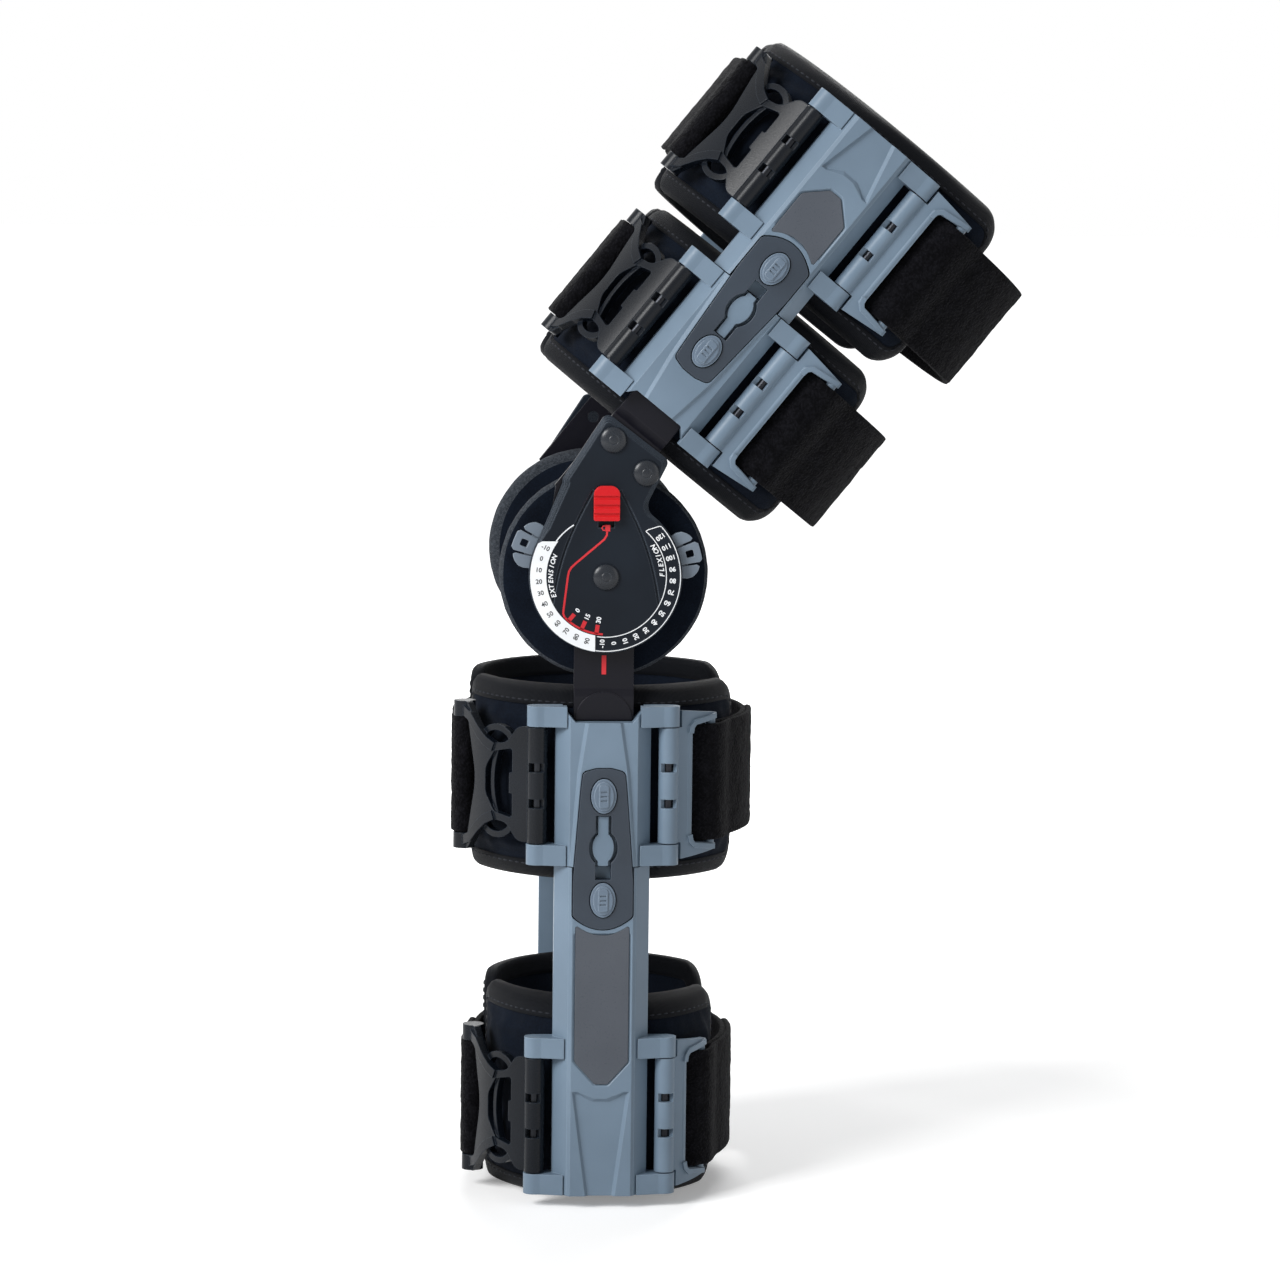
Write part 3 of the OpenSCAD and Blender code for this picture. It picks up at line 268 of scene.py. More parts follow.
bpy.ops.mesh.primitive_plane_add(size=60, location=(0, 0, cad_box[0][2] - 0.5 * MM))
floor = bpy.context.object
floor.name = "floor"
floor_paint, paint, shader = start_material("white_floor", Base_Color=(0.86, 0.86, 0.86, 1), Roughness=0.9,
                                            Specular_IOR_Level=0.1)
middle = paint.nodes.new("ShaderNodeTexCoord").outputs["Object"]
distance = add(paint, "ShaderNodeVectorMath", {"operation": "LENGTH"}, _0=middle).outputs["Value"]
away = spread(paint, distance, FLOOR_NEAR, FLOOR_FAR, FLOOR_LIFT, 1.0)
lift = add(paint, "ShaderNodeEmission", Strength=math_node(paint, "MULTIPLY", seen_directly(paint), away))
both = add(paint, "ShaderNodeAddShader", _0=shader.outputs[0], _1=lift.outputs[0])
paint.links.new(both.outputs[0], paint.nodes["Material Output"].inputs[0])
floor.data.materials.append(floor_paint)
floor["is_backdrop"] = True
print("lamps:", list(LAMPS))

# %% [markdown]
# ## Shared effects
# Four effects come back in many finishes, so each is one node group. *Soft edge* gives a
# rounded normal at every sharp edge of a moulding and a mask of where those edges are, which
# the finishes paint paler: partly wear from handling, partly a painted highlight. *Moulded grain*
# is the fine spark-eroded texture of a plastic part, with a slow drift in shade. *Nap* is the
# short, uneven hair of brushed fabric. *Loop pile* is the deeper, tangled surface that hook tape
# grips. Both fabrics give a shade that follows their height, paler where they stand taller and
# darker in their hollows: a painted highlight and shade.

# %% Node groups
HEIGHT_AND_SHADE = [("Height", "Float"), ("Shade", "Float")]
LOOP_PUSH = (0.004, 0.004, 0.004)     # metres by which the loops lean over


def make_soft_edge():
    tree, given, out = start_group("soft edge", [("Radius", 0.0005), ("Reach", 6.0)],
                                   [("Mask", "Float"), ("Normal", "Vector")])
    rounded = add(tree, "ShaderNodeBevel", {"samples": 4}, Radius=given["Radius"]).outputs[0]
    flat = tree.nodes.new("ShaderNodeNewGeometry").outputs["Normal"]
    turn = add(tree, "ShaderNodeVectorMath", {"operation": "DOT_PRODUCT"}, _0=rounded, _1=flat)
    lost = math_node(tree, "SUBTRACT", 1.0, turn.outputs["Value"])
    mask = add(tree, "ShaderNodeMath", {"operation": "MULTIPLY", "use_clamp": True},
               _0=lost, _1=given["Reach"])
    tree.links.new(mask.outputs[0], out["Mask"])
    tree.links.new(rounded, out["Normal"])
    return tree


def surface_group(name, inputs, shape):
    """A group that puts out a height and a shade, which shape(tree, where, given) makes."""
    tree, given, out = start_group(name, inputs, HEIGHT_AND_SHADE)
    where = tree.nodes.new("ShaderNodeTexCoord").outputs["Object"]
    height, shade = shape(tree, where, given)
    tree.links.new(height, out["Height"])
    tree.links.new(shade, out["Shade"])
    return tree


def grain_shape(tree, where, given):
    slow = noise(tree, where, given["Drift"], 3.0)
    return noise(tree, where, given["Grain"], 3.0, 0.6), spread(tree, slow, 0.35, 0.65)


def nap_shape(tree, where, given):
    hair = noise(tree, where, given["Hair"], 4.0, 0.7)
    patch = noise(tree, where, given["Patch"], 4.0, 0.6)
    tall = math_node(tree, "ADD", hair, math_node(tree, "MULTIPLY", patch, 0.4))
    # Paler where the hair stands taller and darker between: a painted highlight and shade that follow the
    # bump; the patch drift is random tone.
    hair_light_and_shade = math_node(tree, "MULTIPLY", spread(tree, hair, 0.42, 0.72), 0.6)
    drift = math_node(tree, "MULTIPLY", spread(tree, patch, 0.3, 0.7), 0.4)
    return tall, math_node(tree, "ADD", hair_light_and_shade, drift)


def pile_shape(tree, where, given):
    bend = add(tree, "ShaderNodeTexNoise", Vector=where, Scale=given["Tangle"], Detail=3.0)
    pushed = add(tree, "ShaderNodeVectorMath", {"operation": "MULTIPLY_ADD"},
                 _0=bend.outputs["Color"], _1=LOOP_PUSH, _2=where)
    cells = add(tree, "ShaderNodeTexVoronoi", {"feature": "SMOOTH_F1"},
                Vector=pushed.outputs[0], Scale=given["Loops"], Smoothness=0.4)
    clump = noise(tree, where, given["Tangle"], 4.0, 0.6)
    low = math_node(tree, "SUBTRACT", 1.0, cells.outputs["Distance"])
    tall = math_node(tree, "ADD", math_node(tree, "MULTIPLY", low, 0.6), clump)
    # The colour follows the height: paler on the loops' tops and darker in the hollows between them, a
    # painted highlight and shade.
    return tall, spread(tree, tall, 0.65, 1.15)


SOFT_EDGE = make_soft_edge()
MOULDED_GRAIN = surface_group("moulded grain", [("Grain", 1400.0), ("Drift", 22.0)], grain_shape)
NAP = surface_group("nap", [("Hair", 1500.0), ("Patch", 60.0)], nap_shape)
LOOP_PILE = surface_group("loop pile", [("Loops", 900.0), ("Tangle", 240.0)], pile_shape)
print("groups:", [g.name for g in bpy.data.node_groups])

# %% [markdown]
# ## Hard finishes
# All the mouldings share one recipe: a base shade that drifts a little, paler edges that are
# partly wear and partly a painted highlight, fine grain in the bump and a roughness that
# follows the grain. Only the numbers differ: the frames are satin grey-blue, the hinge covers
# charcoal, and the buckles are glossier.

# %% Hard finishes
def hard_finish(name, dark, light, edge, roughness, shine, spread_of=0.08, grain=1400.0, depth=0.00002,
                radius=0.0005, edge_share=0.5, **shader_values):
    """dark and light: the two ends of the drifting shade; edge: the colour of the edges, partly worn paler
    and partly a painted highlight.
    """
    material, tree, shader = start_material(name, Specular_IOR_Level=shine, **shader_values)
    grains = place_group(tree, MOULDED_GRAIN, Grain=grain)
    edges = place_group(tree, SOFT_EDGE, Radius=radius)
    body = blend_tones(tree, grains.outputs["Shade"], tone(*dark), tone(*light))
    # Paler edges: partly wear from handling, partly a painted highlight where light catches the rounded
    # edges.
    worn_and_highlit = math_node(tree, "MULTIPLY", edges.outputs["Mask"], edge_share)
    tree.links.new(blend_tones(tree, worn_and_highlit, body, tone(*edge)), shader.inputs["Base Color"])
    rough = spread(tree, grains.outputs["Height"], 0.3, 0.7, roughness - spread_of, roughness + spread_of)
    tree.links.new(rough, shader.inputs["Roughness"])
    add_bump(tree, shader, 0.5, depth, grains.outputs["Height"], Normal=edges.outputs["Normal"])
    return material


METAL = dict(grain=2600.0, depth=0.000006, Metallic=1.0)
# The edge colours are partly wear and partly a painted highlight.
HARD = {  # name, darker and lighter shade, edges, roughness, shine, and what differs besides
    "frame": ("satin_grey_frame", (99, 116, 132), (109, 127, 144), (150, 167, 183), 0.42, 0.28, {}),
    # The cover's pale edge is wider and stronger, painting a highlight along its rounded neck.
    "cover": ("charcoal_cover", (18, 23, 30), (24, 30, 38), (88, 97, 108), 0.42, 0.11,
              dict(radius=0.0009, edge_share=0.6)),
    "bar": ("black_anodised_bar", (11, 11, 17), (17, 17, 24), (42, 42, 50), 0.36, 0.14, {}),
    "track": ("gunmetal_track", (42, 50, 60), (51, 60, 71), (98, 110, 123), 0.36, 0.3, {}),
    "label": ("plain_label_plate", (68, 73, 81), (76, 81, 89), (102, 108, 115), 0.33, 0.3, {}),
    "button": ("grey_button", (93, 108, 124), (102, 118, 135), (154, 170, 186), 0.34, 0.35, {}),
    "steel": ("polished_pin", (150, 152, 156), (172, 174, 178), (215, 217, 220), 0.26, 0.5, METAL),
    "pin": ("blued_pin", (34, 35, 38), (46, 48, 52), (80, 83, 88), 0.3, 0.5, METAL),
    "rivet": ("blackened_rivet", (20, 24, 30), (28, 33, 40), (84, 91, 100), 0.28, 0.3,
              dict(spread_of=0.03, grain=2200.0, depth=0.000003, radius=0.0003)),
    "lock": ("red_lock", (190, 20, 27), (203, 28, 34), (228, 76, 72), 0.34, 0.2, {}),
    "stop": ("pale_stop", (102, 113, 125), (116, 127, 139), (172, 183, 194), 0.36, 0.3, {}),
    "buckle": ("black_buckle", (7, 11, 17), (13, 18, 25), (58, 68, 81), 0.3, 0.17,
               dict(grain=2400.0, depth=0.000008)),
}
FINISH = {kind: hard_finish(*row, **besides) for kind, (*row, besides) in HARD.items()}
print({kind: material.name for kind, material in FINISH.items()})

# %% [markdown]
# ## The shape of a cuff
# Each cuff is two pads that wrap the leg from the outer and the inner side, with the struts
# pressed on them. Seen along the leg, a pad lies between two ellipses: the leg and a larger
# one, cut flat where the moulding presses. One record per cuff holds its measures, in
# millimetres, and a small class turns "so far round, so far along, so far through the
# foam" into a point in space. Everything soft is drawn with it, so it all fits together.

# %% Cuff records and their surface
FRAME_UNDERSIDE = {"thigh": 70.7, "calf": 67.0}
LEG_MIDDLE = {"thigh": -10.0, "calf": 4.0}
STRUT_MIDDLE = {"thigh": -28.0, "calf": 0.0}
FOAM = 7.0
FRONT_END = 171                # degrees round the leg, counted from the back
SIDE_ROOM = 4.5                # how far the outer ellipse reaches past the moulding's underside
UNDER_FRAME = 0.15             # air between pad and moulding
TOUCHING = 0.3                 # a skin nearer than this to the moulding lies against it
WINDOW_MIDDLE = 33.5           # from the start of a moulding's strap window to its middle
PIN_REACH, PIN_UP, PIN_R = 27.5, 5.0, 2.0
ROUND_STEPS = 400


class Cuff:
    def __init__(self, name, strut, body, window, depth, width, start, end, rear):
        self.name, self.strut, self.body = name, strut, body
        self.start, self.middle = start, window + WINDOW_MIDDLE
        self.leg = (depth / 2, width / 2)
        self.flat = FRAME_UNDERSIDE[strut]
        self.outer = (depth / 2 + FOAM, max(width / 2 + FOAM, self.flat + SIDE_ROOM))
        self.angles = np.linspace(math.radians(rear), math.radians(FRONT_END), ROUND_STEPS)
        a, b = [(p + q) / 2 for p, q in zip(self.leg, self.outer)]
        steps = np.hypot(np.diff(a * np.cos(self.angles)), np.diff(b * np.sin(self.angles)))
        self.lengths = np.concatenate([[0], np.cumsum(steps)])
        self.length, self.height = self.lengths[-1], end - start

    def skins(self, round_it):
        """The leg's and the outer skin's point of the section, round_it millimetres from the rear end."""
        t = np.interp(round_it, self.lengths, self.angles)
        out = min(self.outer[1] * math.sin(t), self.flat - UNDER_FRAME)
        return (np.array([self.leg[0] * math.cos(t), self.leg[1] * math.sin(t)]),
                np.array([self.outer[0] * math.cos(t), out]))

    def at(self, round_it, up, through):
        """A point up millimetres from the cuff's start, and through millimetres of foam from the leg."""
        inner, outer = self.skins(round_it)
        across = outer - inner
        x, z = inner + across * (through / np.linalg.norm(across))
        return place(self.strut, LEG_MIDDLE[self.strut] + x, self.start + up, z)

    def depth(self, round_it):
        inner, outer = self.skins(round_it)
        return math.hypot(*(outer - inner))

    def under_moulding(self, round_it):
        t = np.interp(round_it, self.lengths, self.angles)
        return self.outer[1] * math.sin(t) > self.flat - TOUCHING


CUFFS = [  # name, strut, body, start of its window, leg's depth and width, pad's start, end and rear angle
    Cuff("upper_thigh", "thigh", "thigh_outer", 145.6, 138, 119, 140.6, 219.6, 48),
    Cuff("lower_thigh", "thigh", "thigh", 61.6, 124, 119, 54.6, 133.6, 40),
    Cuff("upper_calf", "calf", "calf", 54.6, 104, 110, 48.6, 129.6, 20),
    Cuff("lower_calf", "calf", "calf_outer", 195.0, 90, 100, 182.0, 267.0, 20),
]

# %% [markdown]
# ## Pads
# A cuff pad is foam between two fabrics, bound at its edge with folded tape. It could be an
# extruded block, but real foam is full in the middle and pinched flat under its binding, so
# the pad is drawn as a grid over a rounded rectangle, with its thickness falling towards
# the edge. Cloth simulation then gives it life: the fabric is made a little too big for its
# pinned edge and blown up gently, so it crowns and puckers as a sewn pad does. The part
# under the moulding is held flat.

# %% Pad outline and thickness
EDGE_FOAM = 4.6       # thickness under the binding
EDGE_LIFT = 0.9       # how far the edge stands off the leg
CROWN_WIDTH = 15.0    # how far from the edge the foam is full
CORNER_FRONT, CORNER_REAR = 9.0, 13.0
GRID = 2.8


def corner_at(cuff, x):
    return CORNER_REAR if x < cuff.length / 2 else CORNER_FRONT


def edge_distance(cuff, x, y):
    """Distance in from the edge of the pad's rounded rectangle; x from its rear end, y from its start."""
    r = corner_at(cuff, x)
    dx = min(x, cuff.length - x)
    dy = min(y, cuff.height - y)
    if dx < r and dy < r:
        return r - math.hypot(r - dx, r - dy)
    return min(dx, dy)


def round_corners(cuff, x, y):
    """Moves a point of a square grid so that the grid fills the rounded rectangle."""
    length, height, r = cuff.length, cuff.height, corner_at(cuff, x)
    px = r - min(x, length - x)
    py = r - min(y, height - y)
    if px > 0 and py > 0:
        qx = px * math.sqrt(1 - py * py / (2 * r * r))
        qy = py * math.sqrt(1 - px * px / (2 * r * r))
        x = r - qx if x < length / 2 else length - r + qx
        y = r - qy if y < height / 2 else height - r + qy
    return x, y


def skin_levels(cuff, x, d):
    """Heights of the pad's inner and outer skin above the leg, d millimetres in from its edge."""
    full = cuff.depth(x)
    share = min(1.0, max(0.0, d / CROWN_WIDTH))
    share = math.sqrt(1 - (1 - share) ** 2)
    inner = EDGE_LIFT * (1 - share)
    outer = inner + EDGE_FOAM + (full - EDGE_FOAM - inner) * share
    return inner, min(outer, full)


def make_pad_mesh(cuff):
    """The pad's points and faces, and for each point what the simulation needs to hold it."""
    nx, ny = round(cuff.length / GRID), round(cuff.height / GRID)
    points, hold, faces = [], [], []
    for i in range(nx + 1):
        for j in range(ny + 1):
            x, y = round_corners(cuff, cuff.length * i / nx, cuff.height * j / ny)
            d = max(0.0, edge_distance(cuff, x, y))
            for level, h in enumerate(skin_levels(cuff, x, d)):
                points.append(cuff.at(x, y, h))
                hold.append((d, level, h > cuff.depth(x) - TOUCHING and cuff.under_moulding(x)))

    def number(p, level):
        return (p[0] * (ny + 1) + p[1]) * 2 + level

    for i in range(nx):
        for j in range(ny):
            quad = [(i, j), (i + 1, j), (i + 1, j + 1), (i, j + 1)]
            faces.append([number(p, 1) for p in quad])
            faces.append([number(p, 0) for p in reversed(quad)])
    rim = ([(i, 0) for i in range(nx)] + [(nx, j) for j in range(ny)]
           + [(i, ny) for i in range(nx, 0, -1)] + [(0, j) for j in range(ny, 0, -1)])
    for p, q in zip(rim, rim[1:] + rim[:1]):
        faces.append([number(q, 1), number(p, 1), number(p, 0), number(q, 0)])
    return points, faces, hold


def ring_faces(rings, around, base=0):
    """The faces between rings of points that follow each other, with as many points around each."""
    faces = []
    for first in range(base, base + (rings - 1) * around, around):
        for k in range(around):
            j = (k + 1) % around
            faces.append([first + k, first + j, first + around + j, first + around + k])
    return faces


def new_piece(name, points, faces, material, smooth=True):
    mesh = bpy.data.meshes.new(name)
    mesh.from_pydata([tuple(p) for p in points], [], faces)
    mesh.validate()
    mesh.update()
    mesh.materials.append(material)
    for polygon in mesh.polygons:
        polygon.use_smooth = smooth
    return link_new(name, mesh)


def heal(piece, merge=0.0):
    """Joins points closer than merge, and turns all faces the right way out."""
    work = bmesh.new()
    work.from_mesh(piece.data)
    if merge:
        bmesh.ops.remove_doubles(work, verts=work.verts, dist=merge)
    bmesh.ops.recalc_face_normals(work, faces=work.faces)
    work.to_mesh(piece.data)
    work.free()


print("pad grid of", GRID, "mm")

# %% [markdown]
# The simulation runs on the grid itself: the edge, the leg side and the flat under the
# moulding are pinned, and the rest may move a few millimetres at most. Only the outer pad
# of each cuff is simulated, and the inner pad is its mirror image.

# %% Simulate, cap and mirror the pads
SIM_FRAMES = 16
PUFF_CAP = 2.6 * MM
HELD_TO, FREE_FROM = 7.5, 14.5     # the pinning fades between these distances from the edge


def puff(piece, hold):
    """Blows the pad up gently and lets its fabric pucker. Returns how far it moved at most."""
    rest = [v.co.copy() for v in piece.data.vertices]
    pins = piece.vertex_groups.new(name="held")
    for k, (d, level, pressed) in enumerate(hold):
        fade = min(1.0, max(0.0, (d - HELD_TO) / (FREE_FROM - HELD_TO)))
        weight = 1.0 if level == 0 or pressed else 1 - fade
        if weight > 0:
            pins.add([k], weight, "REPLACE")
    cloth = piece.modifiers.new("cloth", "CLOTH")
    settings = cloth.settings
    settings.quality = 6
    settings.mass = 0.15
    settings.tension_stiffness = settings.compression_stiffness = 12
    settings.bending_stiffness = 0.6
    settings.shrink_min = -0.035
    settings.use_pressure = True
    settings.uniform_pressure_force = 3.5
    settings.vertex_group_mass = "held"
    settings.pin_stiffness = 2
    settings.effector_weights.gravity = 0
    cloth.collision_settings.use_collision = False
    cloth.point_cache.frame_end = SIM_FRAMES
    for number in range(1, SIM_FRAMES + 1):
        scene.frame_set(number)
    settled = piece.evaluated_get(bpy.context.evaluated_depsgraph_get()).data
    moved = [v.co - start for v, start in zip(settled.vertices, rest)]
    piece.modifiers.remove(cloth)
    piece.vertex_groups.remove(pins)
    most = 0
    for vertex, start, move in zip(piece.data.vertices, rest, moved):
        if move.length > PUFF_CAP:
            move = move * (PUFF_CAP / move.length)
        vertex.co = start + move
        most = max(most, move.length)
    scene.frame_set(1)
    return most


def smooth_out(piece):
    rounding = piece.modifiers.new("rounding", "SUBSURF")
    rounding.levels = rounding.render_levels = 1


def mirrored(piece, name):
    """A copy of a piece for the inner side of the leg, with its faces turned the right way out."""
    twin = link_new(name, piece.data.copy())
    twin.data.name = name
    for vertex in twin.data.vertices:
        vertex.co.y = -vertex.co.y
    twin.data.flip_normals()
    return twin


print("the fabric may move", round(PUFF_CAP / MM, 1), "mm")

# %% [markdown]
# ## Fabric finishes
# The pads are faced with a short-napped, blue-black fabric, and bound with ribbed tape. A
# brushed surface scatters light at its edges, which the shader's sheen gives. The tape's
# ribs run across it, so they follow the tape's own length, kept in its UV map.

# %% Pad fabric, tape and thread
def soft_finish(name, dark, light, group, rough, strength, depth, sheen, **group_values):
    material, tree, shader = start_material(name, Roughness=rough, Sheen_Weight=sheen,
                                            Sheen_Roughness=0.5, Specular_IOR_Level=0.06)
    surface = place_group(tree, group, **group_values)
    shade = blend_tones(tree, surface.outputs["Shade"], tone(*dark), tone(*light))
    tree.links.new(shade, shader.inputs["Base Color"])
    add_bump(tree, shader, strength, depth, surface.outputs["Height"])
    return material


def tape_finish():
    material, tree, shader = start_material("binding_tape", Roughness=0.6, Sheen_Weight=0.03,
                                            Sheen_Roughness=0.4, Specular_IOR_Level=0.06)
    along_tape = add(tree, "ShaderNodeUVMap", {"uv_map": "tape"}).outputs[0]
    ribs = add(tree, "ShaderNodeTexWave", {"bands_direction": "X"}, Vector=along_tape, Scale=0.55,
               Distortion=0.6, Detail=1.0).outputs["Fac"]
    surface = place_group(tree, NAP, Hair=1800.0, Patch=45.0)
    body = blend_tones(tree, surface.outputs["Shade"], tone(12, 14, 18), tone(21, 24, 30))
    # The rib hollows are painted darker: a painted shade that follows the ribs' bump.
    tree.links.new(blend_tones(tree, ribs, tone(9, 10, 13), body), shader.inputs["Base Color"])
    height = math_node(tree, "ADD", ribs, math_node(tree, "MULTIPLY", surface.outputs["Height"], 0.3))
    add_bump(tree, shader, 0.5, 0.0003, height)
    return material


# For the nap and pile surfaces, the darker and lighter shade are spread by the surface's height: partly a
# painted shade and highlight.
SOFT = {  # name, darker and lighter shade, surface, roughness, bump's strength and depth, sheen
    "pad": ("brushed_pad_fabric", (8, 12, 20), (19, 27, 39), NAP, 0.95, 0.6, 0.0004, 0.03, {}),
    "thread": ("sewing_thread", (36, 38, 43), (60, 63, 70), NAP, 0.7, 0.4, 0.0001, 0.05, {"Hair": 3000.0}),
    "strap": ("loop_strap", (3, 3, 5), (19, 19, 23), LOOP_PILE, 0.95, 0.9, 0.0008, 0.03, {}),
    "fuzz": ("grey_cut_edge", (44, 48, 54), (84, 90, 98), LOOP_PILE, 0.95, 0.9, 0.0006, 0.04,
             {"Loops": 2600.0, "Tangle": 900.0}),
}
FINISH.update({kind: soft_finish(*row, **values) for kind, (*row, values) in SOFT.items()})
FINISH["tape"] = tape_finish()
print("fabric finishes:", [FINISH[kind].name for kind in [*SOFT, "tape"]])

# %% [markdown]
# ## Binding and sewing
# The tape is folded over the pad's edge and sewn through a few millimetres in. It is swept
# round the outline as a C-shaped section that hugs both skins. The stitches are short
# thread capsules laid on the tape, one every three to four millimetres.

# %% Sweep the tape round a pad
TAPE_REACH = 7.4
TAPE_ROWS = (TAPE_REACH + 0.15, TAPE_REACH, 5.6, 3.6, 1.8, 0.6)
TAPE_OVER, TAPE_UNDER = 0.55, 0.5      # how far the tape stands off the outer and inner skin
TAPE_TUCK = 0.1                        # how deep its cut edges sink into the skins
FOLD_DEEP, FOLD_IN, FOLD_ROOM = 1.1, 0.1, 0.25     # the fold round the edge of the foam
STITCH_IN = 5.7
STITCH_PITCH = 3.4
STITCH_LENGTH = 2.3
STITCH_LIFT, STITCH_SINK = 0.62, 0.25  # height of a stitch over the skin, and how far its tips dive
CAPSULE = [(0, 0.02), (0.12, 0.22), (0.5, 0.3), (0.88, 0.22), (1, 0.02)]   # share of length, radius
SIDES = 6


def outline(cuff, step=1.6):
    """The pad's edge as (x, y, inward normal), anticlockwise, one point every step millimetres."""
    length, height = cuff.length, cuff.height
    corners = [(0, 0, CORNER_REAR), (length, 0, CORNER_FRONT), (length, height, CORNER_FRONT),
               (0, height, CORNER_REAR)]
    points = []
    for k, (cx, cy, r) in enumerate(corners):
        middle = (cx + (r if cx == 0 else -r), cy + (r if cy == 0 else -r))
        arc = max(4, round(r * math.pi / 2 / step))
        for i in range(arc + 1):
            a = math.radians(180 + 90 * k) + math.pi / 2 * i / arc
            u, v = math.cos(a), math.sin(a)
            points.append((middle[0] + r * u, middle[1] + r * v, (-u, -v)))
        nx, ny, nr = corners[(k + 1) % 4]
        end = ((nx + (nr if nx == 0 else -nr)) if k % 2 == 0 else nx,
               (ny + (nr if ny == 0 else -nr)) if k % 2 == 1 else ny)
        start, inward = points[-1][:2], points[-1][2]
        count = round(math.dist(start, end) / step)
        for i in range(1, max(1, count)):
            x, y = (p + (q - p) * i / count for p, q in zip(start, end))
            points.append((x, y, inward))
    return points


def tape_section(cuff, x):
    """The folded tape in section: (distance in from the edge, height above the leg)."""
    def rows(level, tuck, lift):
        return [(d, skin_levels(cuff, x, d)[level] + (tuck if d > TAPE_REACH else lift)) for d in TAPE_ROWS]

    inner, outer = skin_levels(cuff, x, 0)
    fold = []
    for turn in (50, 0, -50):
        a = math.radians(turn)
        up = (EDGE_FOAM / 2 + FOLD_ROOM) * math.sin(a)
        fold.append((-FOLD_DEEP * math.cos(a) + FOLD_IN, (inner + outer) / 2 + up))
    return rows(1, -TAPE_TUCK, TAPE_OVER) + fold + rows(0, TAPE_TUCK, -TAPE_UNDER)[::-1]


def make_tape(cuff, name):
    rim = outline(cuff)
    points, faces, along = [], [], []
    run = 0.0
    for k, (x, y, inward) in enumerate(rim):
        if k:
            run += math.dist(rim[k - 1][:2], (x, y))
        section = tape_section(cuff, x)
        for d, h in section:
            points.append(cuff.at(x + inward[0] * d, y + inward[1] * d, h))
            along.append(run)
    n, m = len(rim), len(section)
    for k in range(n):
        for i in range(m - 1):
            a, b = k * m + i, ((k + 1) % n) * m + i
            faces.append([a, b, b + 1, a + 1])
    tape = new_piece(name, points, faces, FINISH["tape"])
    uv = tape.data.uv_layers.new(name="tape")
    total = run + math.dist(rim[-1][:2], rim[0][:2])
    for polygon in tape.data.polygons:
        last = polygon.vertices[0] >= (n - 1) * m
        for loop in polygon.loop_indices:
            vertex = tape.data.loops[loop].vertex_index
            uv.data[loop].uv = (total if last and vertex < m else along[vertex], 0)
    return tape


def make_stitches(cuff, name):
    """Thread capsules on the outer face of the tape, following the outline."""
    path = [(x + inward[0] * STITCH_IN, y + inward[1] * STITCH_IN) for x, y, inward in outline(cuff, 0.5)]
    path.append(path[0])
    track = [0.0]
    for p, q in zip(path, path[1:]):
        track.append(track[-1] + math.dist(p, q))
    count = int(track[-1] / STITCH_PITCH)
    path_x, path_y = zip(*path)
    points, faces = [], []
    for k in range(count):
        begin = k * track[-1] / count
        rings = []
        for share, radius in CAPSULE:
            s = begin + STITCH_LENGTH * share
            x, y = np.interp(s, track, path_x), np.interp(s, track, path_y)
            sink = STITCH_SINK if share in (0, 1) else 0.0
            here = cuff.at(x, y, skin_levels(cuff, x, STITCH_IN)[1] + STITCH_LIFT - sink)
            rings.append((here, (cuff.at(x, y, 8) - cuff.at(x, y, 2)).normalized(), radius * MM))
        go = (rings[-1][0] - rings[0][0]).normalized()
        faces += ring_faces(len(rings), SIDES, len(points))
        for here, up, radius in rings:
            side = go.cross(up).normalized()
            for i in range(SIDES):
                a = math.tau * i / SIDES
                points.append(here + (up * math.sin(a) + side * math.cos(a)) * radius)
    return new_piece(name, points, faces, FINISH["thread"])


# %% Make the pads of every cuff
for cuff in CUFFS:
    points, faces, hold = make_pad_mesh(cuff)
    pad = new_piece(cuff.name + "_pad_lateral", points, faces, FINISH["pad"])
    moved = puff(pad, hold)
    tape = make_tape(cuff, cuff.name + "_binding_lateral")
    stitches = make_stitches(cuff, cuff.name + "_stitches_lateral")
    outer = [pad, tape, stitches]
    twins = [mirrored(piece, piece.name.replace("lateral", "medial")) for piece in outer]
    for piece in outer + twins:
        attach(piece, cuff.body)
    for piece in (pad, twins[0]):
        smooth_out(piece)
    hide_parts(cuff.name + "_pads")
    print(cuff.name, len(points), "points; fabric moved up to", round(moved * 1000, 2), "mm")

# %% [markdown]
# ## Straps
# A strap is a band of loop pile, 48 mm wide. On the outer side it passes under the bar of
# its buckle or loop, folds round it and lies back on itself, where hook tape holds it. It
# then runs round the leg to a steel pin of the inner moulding and folds back there too.
# Webbing this stiff would only lose its edges in a cloth simulation, so its line is drawn
# as a run of points in the cuff's section, a band is swept along it, and a fine uneven
# pile is pushed out of its faces.

# %% The line of a strap in its cuff's section
STRAP_HALF = 24.4
STRAP_THICK = 2.3
ON_PAD = 1.6          # height of the strap's middle over the pad
ON_STRAP = 4.15       # the same where it lies on itself
TURN_R = 3.45
BUCKLE_LONG, LOOP_LONG = 45.0, 23.0
BAR_LIFT = {BUCKLE_LONG: 10.0, LOOP_LONG: 5.2}
SETTLE = 40.0         # a strap that comes off a lifted bar lies on the pad after this way
FALL = 16.0           # the same for the step down from the fold round the bar
TAIL = 27.0           # length that lies back on the strap at the inner pin
TAIL_OFF = 3.3        # how far the tail stands off the pin's middle where it starts
TAIL_FLAT = 24.0      # up to here from the leg's middle, the tail stays off the moulding
TAIL_RISE = 0.53      # share of the tail after which it lies down
LOOP_DIP, LOOP_FOLD = 18.0, 13.4     # ways from the pin to where the strap ducks and folds
DIP_OVER, DIP_UNDER = 2.2, 3.7       # heights of its two layers off the loop's line at the dip
FOLD_UNDER, FOLD_R = 2.1, 1.25


